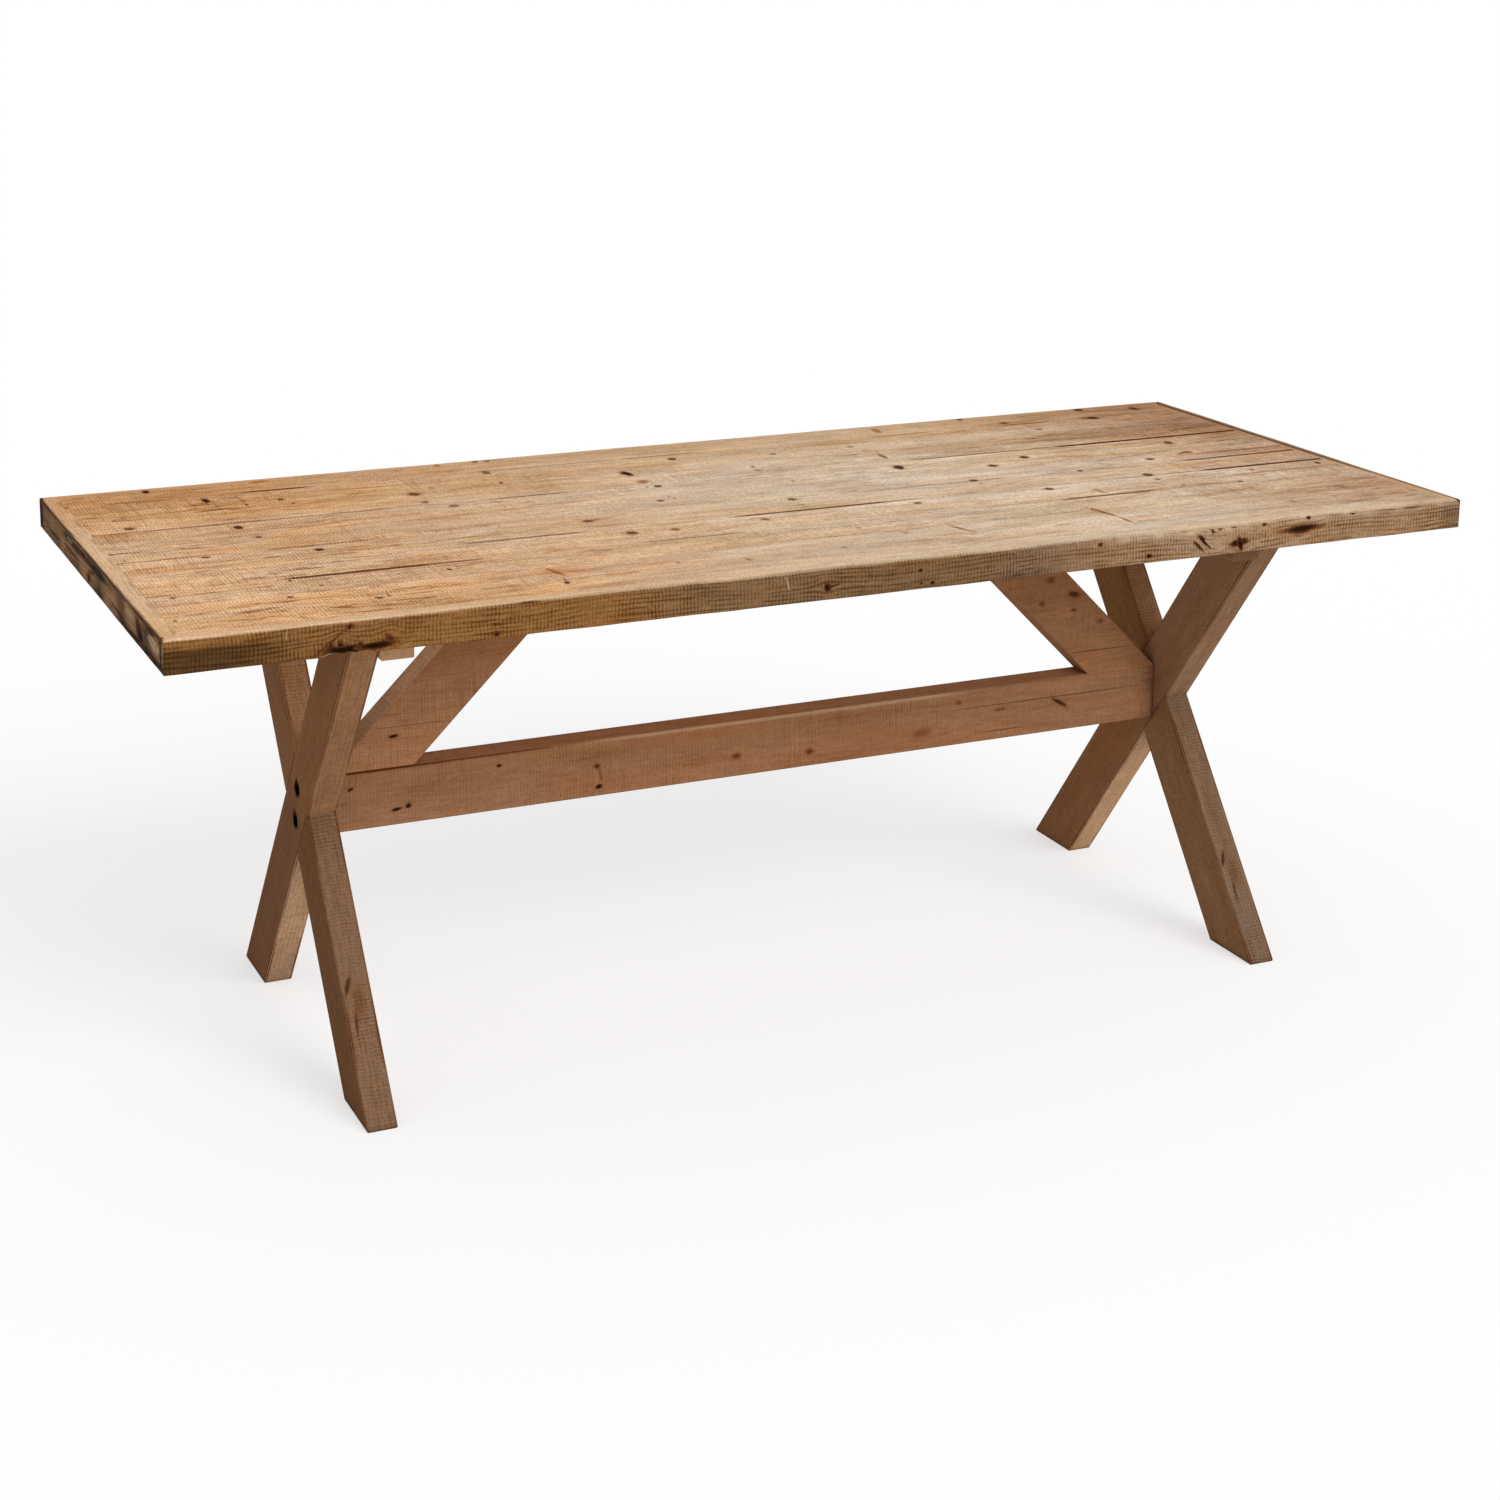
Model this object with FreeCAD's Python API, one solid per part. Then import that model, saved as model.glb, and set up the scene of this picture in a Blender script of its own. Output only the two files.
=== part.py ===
"""Sawbuck dining table: a planked top in a mitred frame on two crossed-leg trestles.

Millimetres, +Z up. X runs along the table and -Y is the front. The origin is the
middle of the table on the floor. Each sub-part is built in place by its own function
and written to parts/ as one STEP file.
"""

import FreeCAD, Part
import math
import os

from FreeCAD import Vector

# ---- Top -------------------------------------------------------------------------
TABLE_HEIGHT = 760.0
PLANK_LENGTH = 1970.0
PLANK_THICKNESS = 28.0
PLANK_WIDTHS = (128.0, 74.0, 90.0, 73.0, 170.0, 185.0, 60.0)  # front to back
PLANK_ARRIS = 0.8
FRAME_THICKNESS = 25.0
FRAME_ROUND = 6.0

# ---- Battens under the planks ----------------------------------------------------
BATTEN_THICKNESS = 19.0
BATTEN_WIDTH = 140.0
BATTEN_END_GAP = 4.0
BATTEN_ARRIS = 2.0

# ---- Trestles --------------------------------------------------------------------
LEG_THICKNESS = 44.0
LEG_WIDTH = 92.0
LEG_ANGLE = 36.7  # from vertical, in degrees
LEG_ROUND = 2.5
CROSSING_HEIGHT = 368.0
LEFT_OVERHANG = 276.0  # end of the top to the trestle's outer face
RIGHT_OVERHANG = 238.0

# ---- Rail cleats at the leg tops -------------------------------------------------
CLEAT_THICKNESS = 47.0
CLEAT_HEIGHT = 53.0
CLEAT_LENGTH = 580.0
CLEAT_ARRIS = 1.5

# ---- Stretcher and braces --------------------------------------------------------
STRETCHER_HEIGHT = 90.0
STRETCHER_THICKNESS = 47.0
STRETCHER_ROUND = 2.0
BRACE_WIDTH = 92.0
BRACE_ANGLE = 45.0  # from horizontal, in degrees
BRACE_ROUND = 2.0
BRACE_CLEAT_LENGTH = 130.0

# ---- Fasteners -------------------------------------------------------------------
FIT = 0.15  # radial clearance round every fastener

BATTEN_SCREW_DIAMETER = 4.5
BATTEN_SCREW_LENGTH = 38.0
BATTEN_SCREW_HEAD = 9.0
BATTEN_SCREW_STAGGER = 52.0

CLEAT_SCREW_DIAMETER = 5.0
CLEAT_SCREW_LENGTH = 88.0
CLEAT_SCREW_HEAD = 10.0
CLEAT_SCREW_SPACING = 90.0
CLEAT_SCREW_COUNT = 4
BRACE_UP_SCREW_SPACING = 84.0
BRACE_BACK_SCREW_SPACING = 30.0

HEX_SHANK = 8.0  # lag screws and bolts are the same size
HEX_HEAD_HEIGHT = 5.5
HEX_HEAD_FLATS = 13.0
WASHER_DIAMETER = 20.0
WASHER_THICKNESS = 2.0

LAG_LENGTH = 80.0  # below the washer
LAG_SPACING = 50.0

BOLT_LENGTH = 78.0  # below the washer
BOLT_SPACING = 54.0
BOLT_STAGGER = 14.0
COUNTERBORE_DIAMETER = 23.0
COUNTERBORE_DEPTH = 12.0
BARREL_NUT_DIAMETER = 12.0
BARREL_NUT_LENGTH = 20.0
BOLT_PAST_NUT = 4.0

BRACE_DOWEL_DIAMETER = 10.0
BRACE_DOWEL_LENGTH = 60.0
BRACE_DOWEL_SPACING = 44.0
DOWEL_BOLT_GAP = 3.0
FRAME_DOWEL_DIAMETER = 8.0
FRAME_DOWEL_LENGTH = 32.0
FRAME_DOWEL_BITE = 12.0  # how far a dowel reaches into the frame board
FRAME_DOWEL_COUNT = 9

# ---- Worked out from the values above --------------------------------------------
INNER_WIDTH = sum(PLANK_WIDTHS)
TABLE_LENGTH = PLANK_LENGTH + 2 * FRAME_THICKNESS
TABLE_WIDTH = INNER_WIDTH + 2 * FRAME_THICKNESS
PLANK_BOTTOM = TABLE_HEIGHT - PLANK_THICKNESS
UNDERSIDE = PLANK_BOTTOM - BATTEN_THICKNESS

LEFT_OUTER = -TABLE_LENGTH / 2 + LEFT_OVERHANG
LEFT_INNER = LEFT_OUTER + LEG_THICKNESS
RIGHT_OUTER = TABLE_LENGTH / 2 - RIGHT_OVERHANG
RIGHT_INNER = RIGHT_OUTER - LEG_THICKNESS

LEG_SLOPE = math.tan(math.radians(LEG_ANGLE))
STRETCHER_TOP = CROSSING_HEIGHT + STRETCHER_HEIGHT / 2
STRETCHER_BOTTOM = CROSSING_HEIGHT - STRETCHER_HEIGHT / 2
STRETCHER_BACK = STRETCHER_THICKNESS / 2

BRACE_SLOPE = math.tan(math.radians(BRACE_ANGLE))
BRACE_FOOT = BRACE_WIDTH / math.sin(math.radians(BRACE_ANGLE))
CLEAT_MIDDLE = UNDERSIDE - CLEAT_HEIGHT / 2

BOLT_REACH = COUNTERBORE_DEPTH + BOLT_LENGTH - LEG_THICKNESS  # into the stretcher
BARREL_NUT_INSET = BOLT_REACH - BOLT_PAST_NUT - BARREL_NUT_DIAMETER / 2
BRACE_DOWEL_INSET = BOLT_REACH + DOWEL_BOLT_GAP + BRACE_DOWEL_DIAMETER / 2

# Diameter, length and head of each kind of wood screw.
BATTEN_SCREW = (BATTEN_SCREW_DIAMETER, BATTEN_SCREW_LENGTH, BATTEN_SCREW_HEAD)
CLEAT_SCREW = (CLEAT_SCREW_DIAMETER, CLEAT_SCREW_LENGTH, CLEAT_SCREW_HEAD)

X_AXIS = Vector(1, 0, 0)
Y_AXIS = Vector(0, 1, 0)
Z_AXIS = Vector(0, 0, 1)

# A trestle is named by its side: where its outer and inner faces are, and which way
# is inward, towards the stretcher.
TRESTLES = {
    "left": dict(outer=LEFT_OUTER, inner=LEFT_INNER, inward=1),
    "right": dict(outer=RIGHT_OUTER, inner=RIGHT_INNER, inward=-1),
}


def block(x0, x1, y0, y1, z0, z1):
    """Box between two corners."""
    return Part.makeBox(x1 - x0, y1 - y0, z1 - z0, Vector(x0, y0, z0))


def prism(points, direction):
    """Straight prism on a closed outline."""
    outline = Part.makePolygon([*points, points[0]])
    return Part.Face(outline).extrude(direction)


def edges_along(shape, direction):
    """Straight edges of a shape that are parallel to a direction."""
    found = []
    for edge in shape.Edges:
        start, end = edge.Vertexes[0].Point, edge.Vertexes[-1].Point
        run = end - start
        if run.Length > 0 and run.normalize().cross(direction).Length < 1e-6:
            found.append(edge)
    return found


def edges_at_height(shape, height):
    """Edges of a shape that lie level at one height."""
    return [
        edge
        for edge in shape.Edges
        if all(abs(vertex.Point.z - height) < 1e-6 for vertex in edge.Vertexes)
    ]


def cut_holes(shape, holes):
    """Cut out the holes whose bounds reach a shape's bounds."""
    met = [hole for hole in holes if shape.BoundBox.intersect(hole.BoundBox)]
    return shape.cut(met) if met else shape


def centred(count, spacing):
    """Offsets of a row of equally spaced places about zero."""
    return [(i - (count - 1) / 2) * spacing for i in range(count)]


# ---- Where things stand ----------------------------------------------------------


def plank_spans():
    """Front and back side of each plank, front plank first."""
    spans = []
    front = -INNER_WIDTH / 2
    for width in PLANK_WIDTHS:
        spans.append((front, front + width))
        front += width
    return spans


def leg_centre(name, height):
    """Where a leg's centre line is across the table at a height.

    Leg "a" has its foot at the front and leg "b" has it at the back.
    """
    lean = 1 if name == "a" else -1
    return lean * (height - CROSSING_HEIGHT) * LEG_SLOPE


def brace_centre(side, height):
    """Where a brace's centre line is along the table at a height."""
    trestle = TRESTLES[side]
    run = BRACE_FOOT / 2 + (height - STRETCHER_TOP) / BRACE_SLOPE
    return trestle["inner"] + trestle["inward"] * run


def batten_centres():
    """Place of each batten along the table, left to right."""
    places = {}
    for side, trestle in TRESTLES.items():
        reach = LEG_THICKNESS + CLEAT_THICKNESS
        places[f"{side}_trestle"] = trestle["outer"] + trestle["inward"] * reach / 2
        places[f"{side}_brace"] = brace_centre(side, UNDERSIDE)
    places["middle"] = (places["left_brace"] + places["right_brace"]) / 2
    return places


# ---- Fasteners -------------------------------------------------------------------


def rod(diameter, length, start, direction, clearance=0.0):
    """Round rod, or the hole for it when it has a clearance."""
    return Part.makeCylinder(diameter / 2 + clearance, length, start, direction)


def wood_screw(size, start, direction, clearance=0.0):
    """Countersunk screw whose head is flush at start, or the hole for it."""
    diameter, length, head_diameter = size
    radius = diameter / 2 + clearance
    head_radius = head_diameter / 2 + clearance
    head_depth = head_radius - radius
    head = Part.makeCone(head_radius, radius, head_depth, start, direction)
    tip_length = diameter
    shank_length = length - head_depth - tip_length
    shank_start = start + direction * head_depth
    shank = Part.makeCylinder(radius, shank_length, shank_start, direction)
    tip_start = shank_start + direction * shank_length
    tip = Part.makeCone(radius, radius / 3, tip_length, tip_start, direction)
    return head.fuse([shank, tip]).removeSplitter()


def hex_fastener(length, place, direction):
    """Hexagon head on a washer that lies at a place, its shank along +X or -X."""
    seat = place - direction * WASHER_THICKNESS
    corner = HEX_HEAD_FLATS / math.sqrt(3)
    points = []
    for i in range(6):
        angle = math.radians(60 * i)
        points.append(seat + Vector(0, math.cos(angle), math.sin(angle)) * corner)
    head = prism(points, direction * -HEX_HEAD_HEIGHT)
    shank = rod(HEX_SHANK, length + WASHER_THICKNESS, seat, direction)
    return head.fuse(shank).removeSplitter()


def washer(place, direction):
    """Flat ring that lies at a place, on the side away from a direction."""
    outside = direction * -1
    ring = rod(WASHER_DIAMETER, WASHER_THICKNESS, place, outside)
    return ring.cut(rod(HEX_SHANK, WASHER_THICKNESS, place, outside, FIT))


def batten_screw_places(batten):
    """Start of each screw that goes up through one batten, one to a plank."""
    places = []
    for i, (front, back) in enumerate(plank_spans()):
        side = 1 if i % 2 else -1
        x = batten_centres()[batten] + side * BATTEN_SCREW_STAGGER
        places.append(Vector(x, (front + back) / 2, UNDERSIDE))
    return places


def cleat_screw_places(side):
    """Start of each screw that goes up through one rail cleat."""
    trestle = TRESTLES[side]
    x = trestle["inner"] + trestle["inward"] * CLEAT_THICKNESS / 2
    bottom = UNDERSIDE - CLEAT_HEIGHT
    ys = centred(CLEAT_SCREW_COUNT, CLEAT_SCREW_SPACING)
    return [Vector(x, y, bottom) for y in ys]


def brace_up_screw_places(side):
    """Start of each screw that goes up through one brace cleat."""
    x = brace_centre(side, CLEAT_MIDDLE)
    y = STRETCHER_BACK + CLEAT_THICKNESS / 2
    bottom = UNDERSIDE - CLEAT_HEIGHT
    return [Vector(x + dx, y, bottom) for dx in centred(2, BRACE_UP_SCREW_SPACING)]


def brace_back_screw_places(side):
    """Start of each screw that goes forward through one brace cleat."""
    x = brace_centre(side, CLEAT_MIDDLE)
    y = STRETCHER_BACK + CLEAT_THICKNESS
    return [
        Vector(x + dx, y, CLEAT_MIDDLE) for dx in centred(2, BRACE_BACK_SCREW_SPACING)
    ]


def lag_places(side):
    """Seat of each lag screw on one rail cleat's inner face, and the way it goes."""
    trestle = TRESTLES[side]
    x = trestle["inner"] + trestle["inward"] * CLEAT_THICKNESS
    places = []
    for leg in ("a", "b"):
        for dy in centred(2, LAG_SPACING):
            places.append(Vector(x, leg_centre(leg, CLEAT_MIDDLE) + dy, CLEAT_MIDDLE))
    return places, X_AXIS * -trestle["inward"]


def bolt_places(side):
    """Seat of each stretcher bolt's washer, and the way the bolt goes."""
    trestle = TRESTLES[side]
    x = trestle["outer"] + trestle["inward"] * COUNTERBORE_DEPTH
    places = []
    for i, dz in enumerate(centred(2, BOLT_SPACING)):
        y = BOLT_STAGGER / 2 if i == 0 else -BOLT_STAGGER / 2
        places.append(Vector(x, y, CROSSING_HEIGHT + dz))
    return places, X_AXIS * trestle["inward"]


def brace_dowel_places(side):
    """Middle of each dowel at the foot of one brace."""
    trestle = TRESTLES[side]
    insets = (BRACE_DOWEL_INSET, BRACE_DOWEL_INSET + BRACE_DOWEL_SPACING)
    xs = [trestle["inner"] + trestle["inward"] * inset for inset in insets]
    return [Vector(x, 0, STRETCHER_TOP) for x in xs]


def frame_dowel_places():
    """Outer end and inward direction of each dowel between frame and planks."""
    places = []
    height = PLANK_BOTTOM + PLANK_THICKNESS / 2
    reach = FRAME_DOWEL_BITE
    spacing = PLANK_LENGTH / FRAME_DOWEL_COUNT
    for x in centred(FRAME_DOWEL_COUNT, spacing):
        front = Vector(x, -INNER_WIDTH / 2 - reach, height)
        back = Vector(x, INNER_WIDTH / 2 + reach, height)
        places.append((front, Y_AXIS))
        places.append((back, Y_AXIS * -1))
    for near, far in plank_spans():
        y = (near + far) / 2
        left = Vector(-PLANK_LENGTH / 2 - reach, y, height)
        right = Vector(PLANK_LENGTH / 2 + reach, y, height)
        places.append((left, X_AXIS))
        places.append((right, X_AXIS * -1))
    return places


def batten_screw_holes(batten):
    """Holes for the screws through one batten."""
    places = batten_screw_places(batten)
    return [wood_screw(BATTEN_SCREW, place, Z_AXIS, FIT) for place in places]


def up_screw_holes():
    """Holes for the long screws that go up through the cleats."""
    places = []
    for side in TRESTLES:
        places += cleat_screw_places(side) + brace_up_screw_places(side)
    return [wood_screw(CLEAT_SCREW, place, Z_AXIS, FIT) for place in places]


def brace_back_screw_holes(side):
    """Holes for the screws that go through one brace cleat into its brace."""
    forward = Y_AXIS * -1
    places = brace_back_screw_places(side)
    return [wood_screw(CLEAT_SCREW, place, forward, FIT) for place in places]


def lag_holes(side):
    """Holes for the lag screws of one trestle."""
    places, direction = lag_places(side)
    return [rod(HEX_SHANK, LAG_LENGTH, place, direction, FIT) for place in places]


def bolt_holes(side):
    """Holes and counterbores for the stretcher bolts of one trestle."""
    places, direction = bolt_places(side)
    holes = []
    for place in places:
        mouth = place - direction * COUNTERBORE_DEPTH
        holes.append(rod(COUNTERBORE_DIAMETER, COUNTERBORE_DEPTH, mouth, direction))
        holes.append(rod(HEX_SHANK, BOLT_LENGTH, place, direction, FIT))
    return holes


def barrel_nut_holes(side):
    """Blind holes in the back of the stretcher for one end's barrel nuts."""
    holes = []
    for centre in barrel_nut_centres(side):
        depth = STRETCHER_BACK - centre.y + BARREL_NUT_LENGTH / 2
        mouth = Vector(centre.x, STRETCHER_BACK, centre.z)
        holes.append(rod(BARREL_NUT_DIAMETER, depth, mouth, Y_AXIS * -1, FIT))
    return holes


def barrel_nut_centres(side):
    """Centre of each barrel nut at one end of the stretcher."""
    trestle = TRESTLES[side]
    x = trestle["inner"] + trestle["inward"] * BARREL_NUT_INSET
    places, _ = bolt_places(side)
    return [Vector(x, place.y, place.z) for place in places]


def brace_dowel_holes(side):
    """Holes for the dowels at the foot of one brace."""
    return [
        rod(BRACE_DOWEL_DIAMETER, BRACE_DOWEL_LENGTH, start, Z_AXIS, FIT)
        for start in brace_dowel_starts(side)
    ]


def brace_dowel_starts(side):
    """Lower end of each dowel at the foot of one brace."""
    half = Z_AXIS * (BRACE_DOWEL_LENGTH / 2)
    return [place - half for place in brace_dowel_places(side)]


def frame_dowel_holes():
    """Holes for the dowels between the frame and the planks."""
    return [
        rod(FRAME_DOWEL_DIAMETER, FRAME_DOWEL_LENGTH, start, direction, FIT)
        for start, direction in frame_dowel_places()
    ]


# ---- Wooden pieces ---------------------------------------------------------------


def plank(front, back):
    """One plank of the top, with eased upper edges and its fixing holes."""
    half = PLANK_LENGTH / 2
    board = block(-half, half, front, back, PLANK_BOTTOM, TABLE_HEIGHT)
    board = board.makeChamfer(PLANK_ARRIS, edges_at_height(board, TABLE_HEIGHT))
    holes = frame_dowel_holes() + up_screw_holes()
    for batten in batten_centres():
        holes += batten_screw_holes(batten)
    return cut_holes(board, holes)


def frame_board(length, offset, turn):
    """One mitred board of the frame round the top.

    It is built along the front and then turned about the vertical into place.
    """
    half = length / 2
    outer = -offset
    inner = outer + FRAME_THICKNESS
    board = block(-half, half, outer, inner, UNDERSIDE, TABLE_HEIGHT)
    arris = [
        edge
        for edge in edges_at_height(board, TABLE_HEIGHT)
        if abs(edge.CenterOfMass.y - outer) < 1e-6
    ]
    board = board.makeFillet(FRAME_ROUND, arris)
    for end in (-1, 1):
        corner = [
            Vector(end * half, outer, UNDERSIDE),
            Vector(end * half, inner, UNDERSIDE),
            Vector(end * (half - FRAME_THICKNESS), inner, UNDERSIDE),
        ]
        board = board.cut(prism(corner, Z_AXIS * (TABLE_HEIGHT - UNDERSIDE)))
    board.rotate(Vector(0, 0, 0), Z_AXIS, turn)
    return cut_holes(board, frame_dowel_holes())


def batten(name):
    """Flat batten across the planks, screwed to each of them."""
    x = batten_centres()[name]
    half = INNER_WIDTH / 2 - BATTEN_END_GAP
    x0, x1 = x - BATTEN_WIDTH / 2, x + BATTEN_WIDTH / 2
    strip = block(x0, x1, -half, half, UNDERSIDE, PLANK_BOTTOM)
    strip = strip.makeChamfer(BATTEN_ARRIS, edges_at_height(strip, UNDERSIDE))
    holes = batten_screw_holes(name) + up_screw_holes()
    return cut_holes(strip, holes)


def leg_band(name, margin):
    """Slab of a leg's width along its slope, longer than the leg by a margin."""
    half = LEG_WIDTH / 2 / math.cos(math.radians(LEG_ANGLE))
    low, high = -margin, UNDERSIDE + margin
    return [
        Vector(0, leg_centre(name, low) - half, low),
        Vector(0, leg_centre(name, low) + half, low),
        Vector(0, leg_centre(name, high) + half, high),
        Vector(0, leg_centre(name, high) - half, high),
    ]


def leg(side, name):
    """One sloping leg, half lapped where it crosses its partner.

    Leg "b" keeps the half of its thickness towards -X and leg "a" the other half.
    """
    trestle = TRESTLES[side]
    x0 = min(trestle["outer"], trestle["inner"])
    post = prism(leg_band(name, 0), X_AXIS * LEG_THICKNESS)
    slope = leg_centre(name, 1) - leg_centre(name, 0)
    along = Vector(0, slope, 1).normalize()
    eased = edges_along(post, along) + edges_at_height(post, 0)
    post = post.makeFillet(LEG_ROUND, eased)
    partner = "b" if name == "a" else "a"
    half_lap = prism(leg_band(partner, LEG_WIDTH), X_AXIS * (LEG_THICKNESS / 2))
    if name == "b":
        half_lap.translate(X_AXIS * (LEG_THICKNESS / 2))
    post = post.cut(half_lap)
    post.translate(X_AXIS * x0)
    return cut_holes(post, bolt_holes(side) + lag_holes(side))


def rail_cleat(side):
    """Rail across the inner side of one trestle, under its batten."""
    trestle = TRESTLES[side]
    x0, x1 = sorted(
        (trestle["inner"], trestle["inner"] + trestle["inward"] * CLEAT_THICKNESS)
    )
    half = CLEAT_LENGTH / 2
    bottom = UNDERSIDE - CLEAT_HEIGHT
    rail = block(x0, x1, -half, half, bottom, UNDERSIDE)
    rail = rail.makeChamfer(CLEAT_ARRIS, edges_at_height(rail, bottom))
    holes = [wood_screw(CLEAT_SCREW, p, Z_AXIS, FIT) for p in cleat_screw_places(side)]
    return cut_holes(rail, holes + lag_holes(side))


def brace_cleat(side):
    """Short block behind the top of one brace, under its batten."""
    x = brace_centre(side, CLEAT_MIDDLE)
    half = BRACE_CLEAT_LENGTH / 2
    bottom = UNDERSIDE - CLEAT_HEIGHT
    back = STRETCHER_BACK + CLEAT_THICKNESS
    stub = block(x - half, x + half, STRETCHER_BACK, back, bottom, UNDERSIDE)
    stub = stub.makeChamfer(CLEAT_ARRIS, edges_at_height(stub, bottom))
    places = brace_up_screw_places(side)
    holes = [wood_screw(CLEAT_SCREW, place, Z_AXIS, FIT) for place in places]
    return cut_holes(stub, holes + brace_back_screw_holes(side))


def stretcher():
    """Rail between the trestles, bored at its ends and for the brace dowels."""
    rail = block(
        LEFT_INNER,
        RIGHT_INNER,
        -STRETCHER_BACK,
        STRETCHER_BACK,
        STRETCHER_BOTTOM,
        STRETCHER_TOP,
    )
    rail = rail.makeFillet(STRETCHER_ROUND, edges_along(rail, X_AXIS))
    holes = []
    for side in TRESTLES:
        holes += bolt_holes(side) + barrel_nut_holes(side) + brace_dowel_holes(side)
    return cut_holes(rail, holes)


def brace(side):
    """Sloping brace from the stretcher's end up to its batten."""
    inward = TRESTLES[side]["inward"]
    points = []
    for height, heel in (
        (STRETCHER_TOP, -1),
        (STRETCHER_TOP, 1),
        (UNDERSIDE, 1),
        (UNDERSIDE, -1),
    ):
        x = brace_centre(side, height) + heel * inward * BRACE_FOOT / 2
        points.append(Vector(x, -STRETCHER_BACK, height))
    strut = prism(points, Y_AXIS * STRETCHER_THICKNESS)
    along = (points[2] - points[1]).normalize()
    strut = strut.makeFillet(BRACE_ROUND, edges_along(strut, along))
    holes = brace_dowel_holes(side) + brace_back_screw_holes(side)
    return cut_holes(strut, holes)


# ---- Fastener sets ---------------------------------------------------------------


def batten_screws():
    """Every screw through the battens into the planks."""
    return [
        wood_screw(BATTEN_SCREW, place, Z_AXIS)
        for name in batten_centres()
        for place in batten_screw_places(name)
    ]


def cleat_screws():
    """Every long screw up through the rail cleats."""
    return [
        wood_screw(CLEAT_SCREW, place, Z_AXIS)
        for side in TRESTLES
        for place in cleat_screw_places(side)
    ]


def brace_screws():
    """Every screw through the brace cleats, up and forward."""
    screws = []
    for side in TRESTLES:
        for place in brace_up_screw_places(side):
            screws.append(wood_screw(CLEAT_SCREW, place, Z_AXIS))
        for place in brace_back_screw_places(side):
            screws.append(wood_screw(CLEAT_SCREW, place, Y_AXIS * -1))
    return screws


def lag_screws():
    """Every lag screw through a rail cleat into a leg, head on its washer."""
    screws = []
    for side in TRESTLES:
        places, direction = lag_places(side)
        screws += [hex_fastener(LAG_LENGTH, place, direction) for place in places]
    return screws


def lag_washers():
    """Washer under each lag screw."""
    rings = []
    for side in TRESTLES:
        places, direction = lag_places(side)
        rings += [washer(place, direction) for place in places]
    return rings


def stretcher_bolts():
    """Every bolt through a trestle into the stretcher, head on its washer."""
    bolts = []
    for side in TRESTLES:
        places, direction = bolt_places(side)
        bolts += [hex_fastener(BOLT_LENGTH, place, direction) for place in places]
    return bolts


def bolt_washers():
    """Washer at the bottom of each counterbore."""
    rings = []
    for side in TRESTLES:
        places, direction = bolt_places(side)
        rings += [washer(place, direction) for place in places]
    return rings


def barrel_nuts():
    """Cross-bored nut on each stretcher bolt."""
    nuts = []
    for side in TRESTLES:
        for centre in barrel_nut_centres(side):
            start = centre - Y_AXIS * (BARREL_NUT_LENGTH / 2)
            nut = rod(BARREL_NUT_DIAMETER, BARREL_NUT_LENGTH, start, Y_AXIS)
            bore_start = centre - X_AXIS * BARREL_NUT_DIAMETER
            bore = rod(HEX_SHANK, 2 * BARREL_NUT_DIAMETER, bore_start, X_AXIS, FIT)
            nuts.append(nut.cut(bore))
    return nuts


def brace_dowels():
    """Every dowel between a brace and the stretcher."""
    return [
        rod(BRACE_DOWEL_DIAMETER, BRACE_DOWEL_LENGTH, start, Z_AXIS)
        for side in TRESTLES
        for start in brace_dowel_starts(side)
    ]


def frame_dowels():
    """Every dowel between the frame and the planks."""
    return [
        rod(FRAME_DOWEL_DIAMETER, FRAME_DOWEL_LENGTH, start, direction)
        for start, direction in frame_dowel_places()
    ]


def build():
    """Every node's name and shape."""
    nodes = {}
    for i, (front, back) in enumerate(plank_spans(), start=1):
        nodes[f"top_plank_{i}"] = plank(front, back)
    for i, name in enumerate(("front", "right", "back", "left")):
        along = i % 2 == 0
        length = TABLE_LENGTH if along else TABLE_WIDTH
        offset = TABLE_WIDTH / 2 if along else TABLE_LENGTH / 2
        nodes[f"frame_board_{name}"] = frame_board(length, offset, 90 * i)
    for name in batten_centres():
        nodes[f"batten_{name}"] = batten(name)
    for side in TRESTLES:
        for name in ("a", "b"):
            nodes[f"leg_{side}_{name}"] = leg(side, name)
        nodes[f"rail_cleat_{side}"] = rail_cleat(side)
        nodes[f"brace_{side}"] = brace(side)
        nodes[f"brace_cleat_{side}"] = brace_cleat(side)
    nodes["stretcher"] = stretcher()
    for name, solids in (
        ("batten_screws", batten_screws()),
        ("cleat_screws", cleat_screws()),
        ("brace_screws", brace_screws()),
        ("lag_screws", lag_screws()),
        ("lag_washers", lag_washers()),
        ("stretcher_bolts", stretcher_bolts()),
        ("bolt_washers", bolt_washers()),
        ("barrel_nuts", barrel_nuts()),
        ("brace_dowels", brace_dowels()),
        ("frame_dowels", frame_dowels()),
    ):
        nodes[name] = Part.makeCompound(solids)
    return nodes


def main():
    os.makedirs("parts", exist_ok=True)
    for name, shape in build().items():
        shape.exportStep(f"parts/{name}.step")
        box = shape.BoundBox
        print(
            f"{name}: {len(shape.Solids)} solid(s), valid {shape.isValid()}, "
            f"{box.XLength:.1f} x {box.YLength:.1f} x {box.ZLength:.1f}"
        )


main()
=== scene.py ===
"""Sawbuck table: worn sawn boards, their knots and cracks, and the steel that holds them."""

import math

import bmesh
import bpy
import numpy as np
from bpy.props import FloatProperty, FloatVectorProperty, PointerProperty
from bpy.types import Operator, Panel, PropertyGroup
from mathutils import Matrix, Vector


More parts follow.
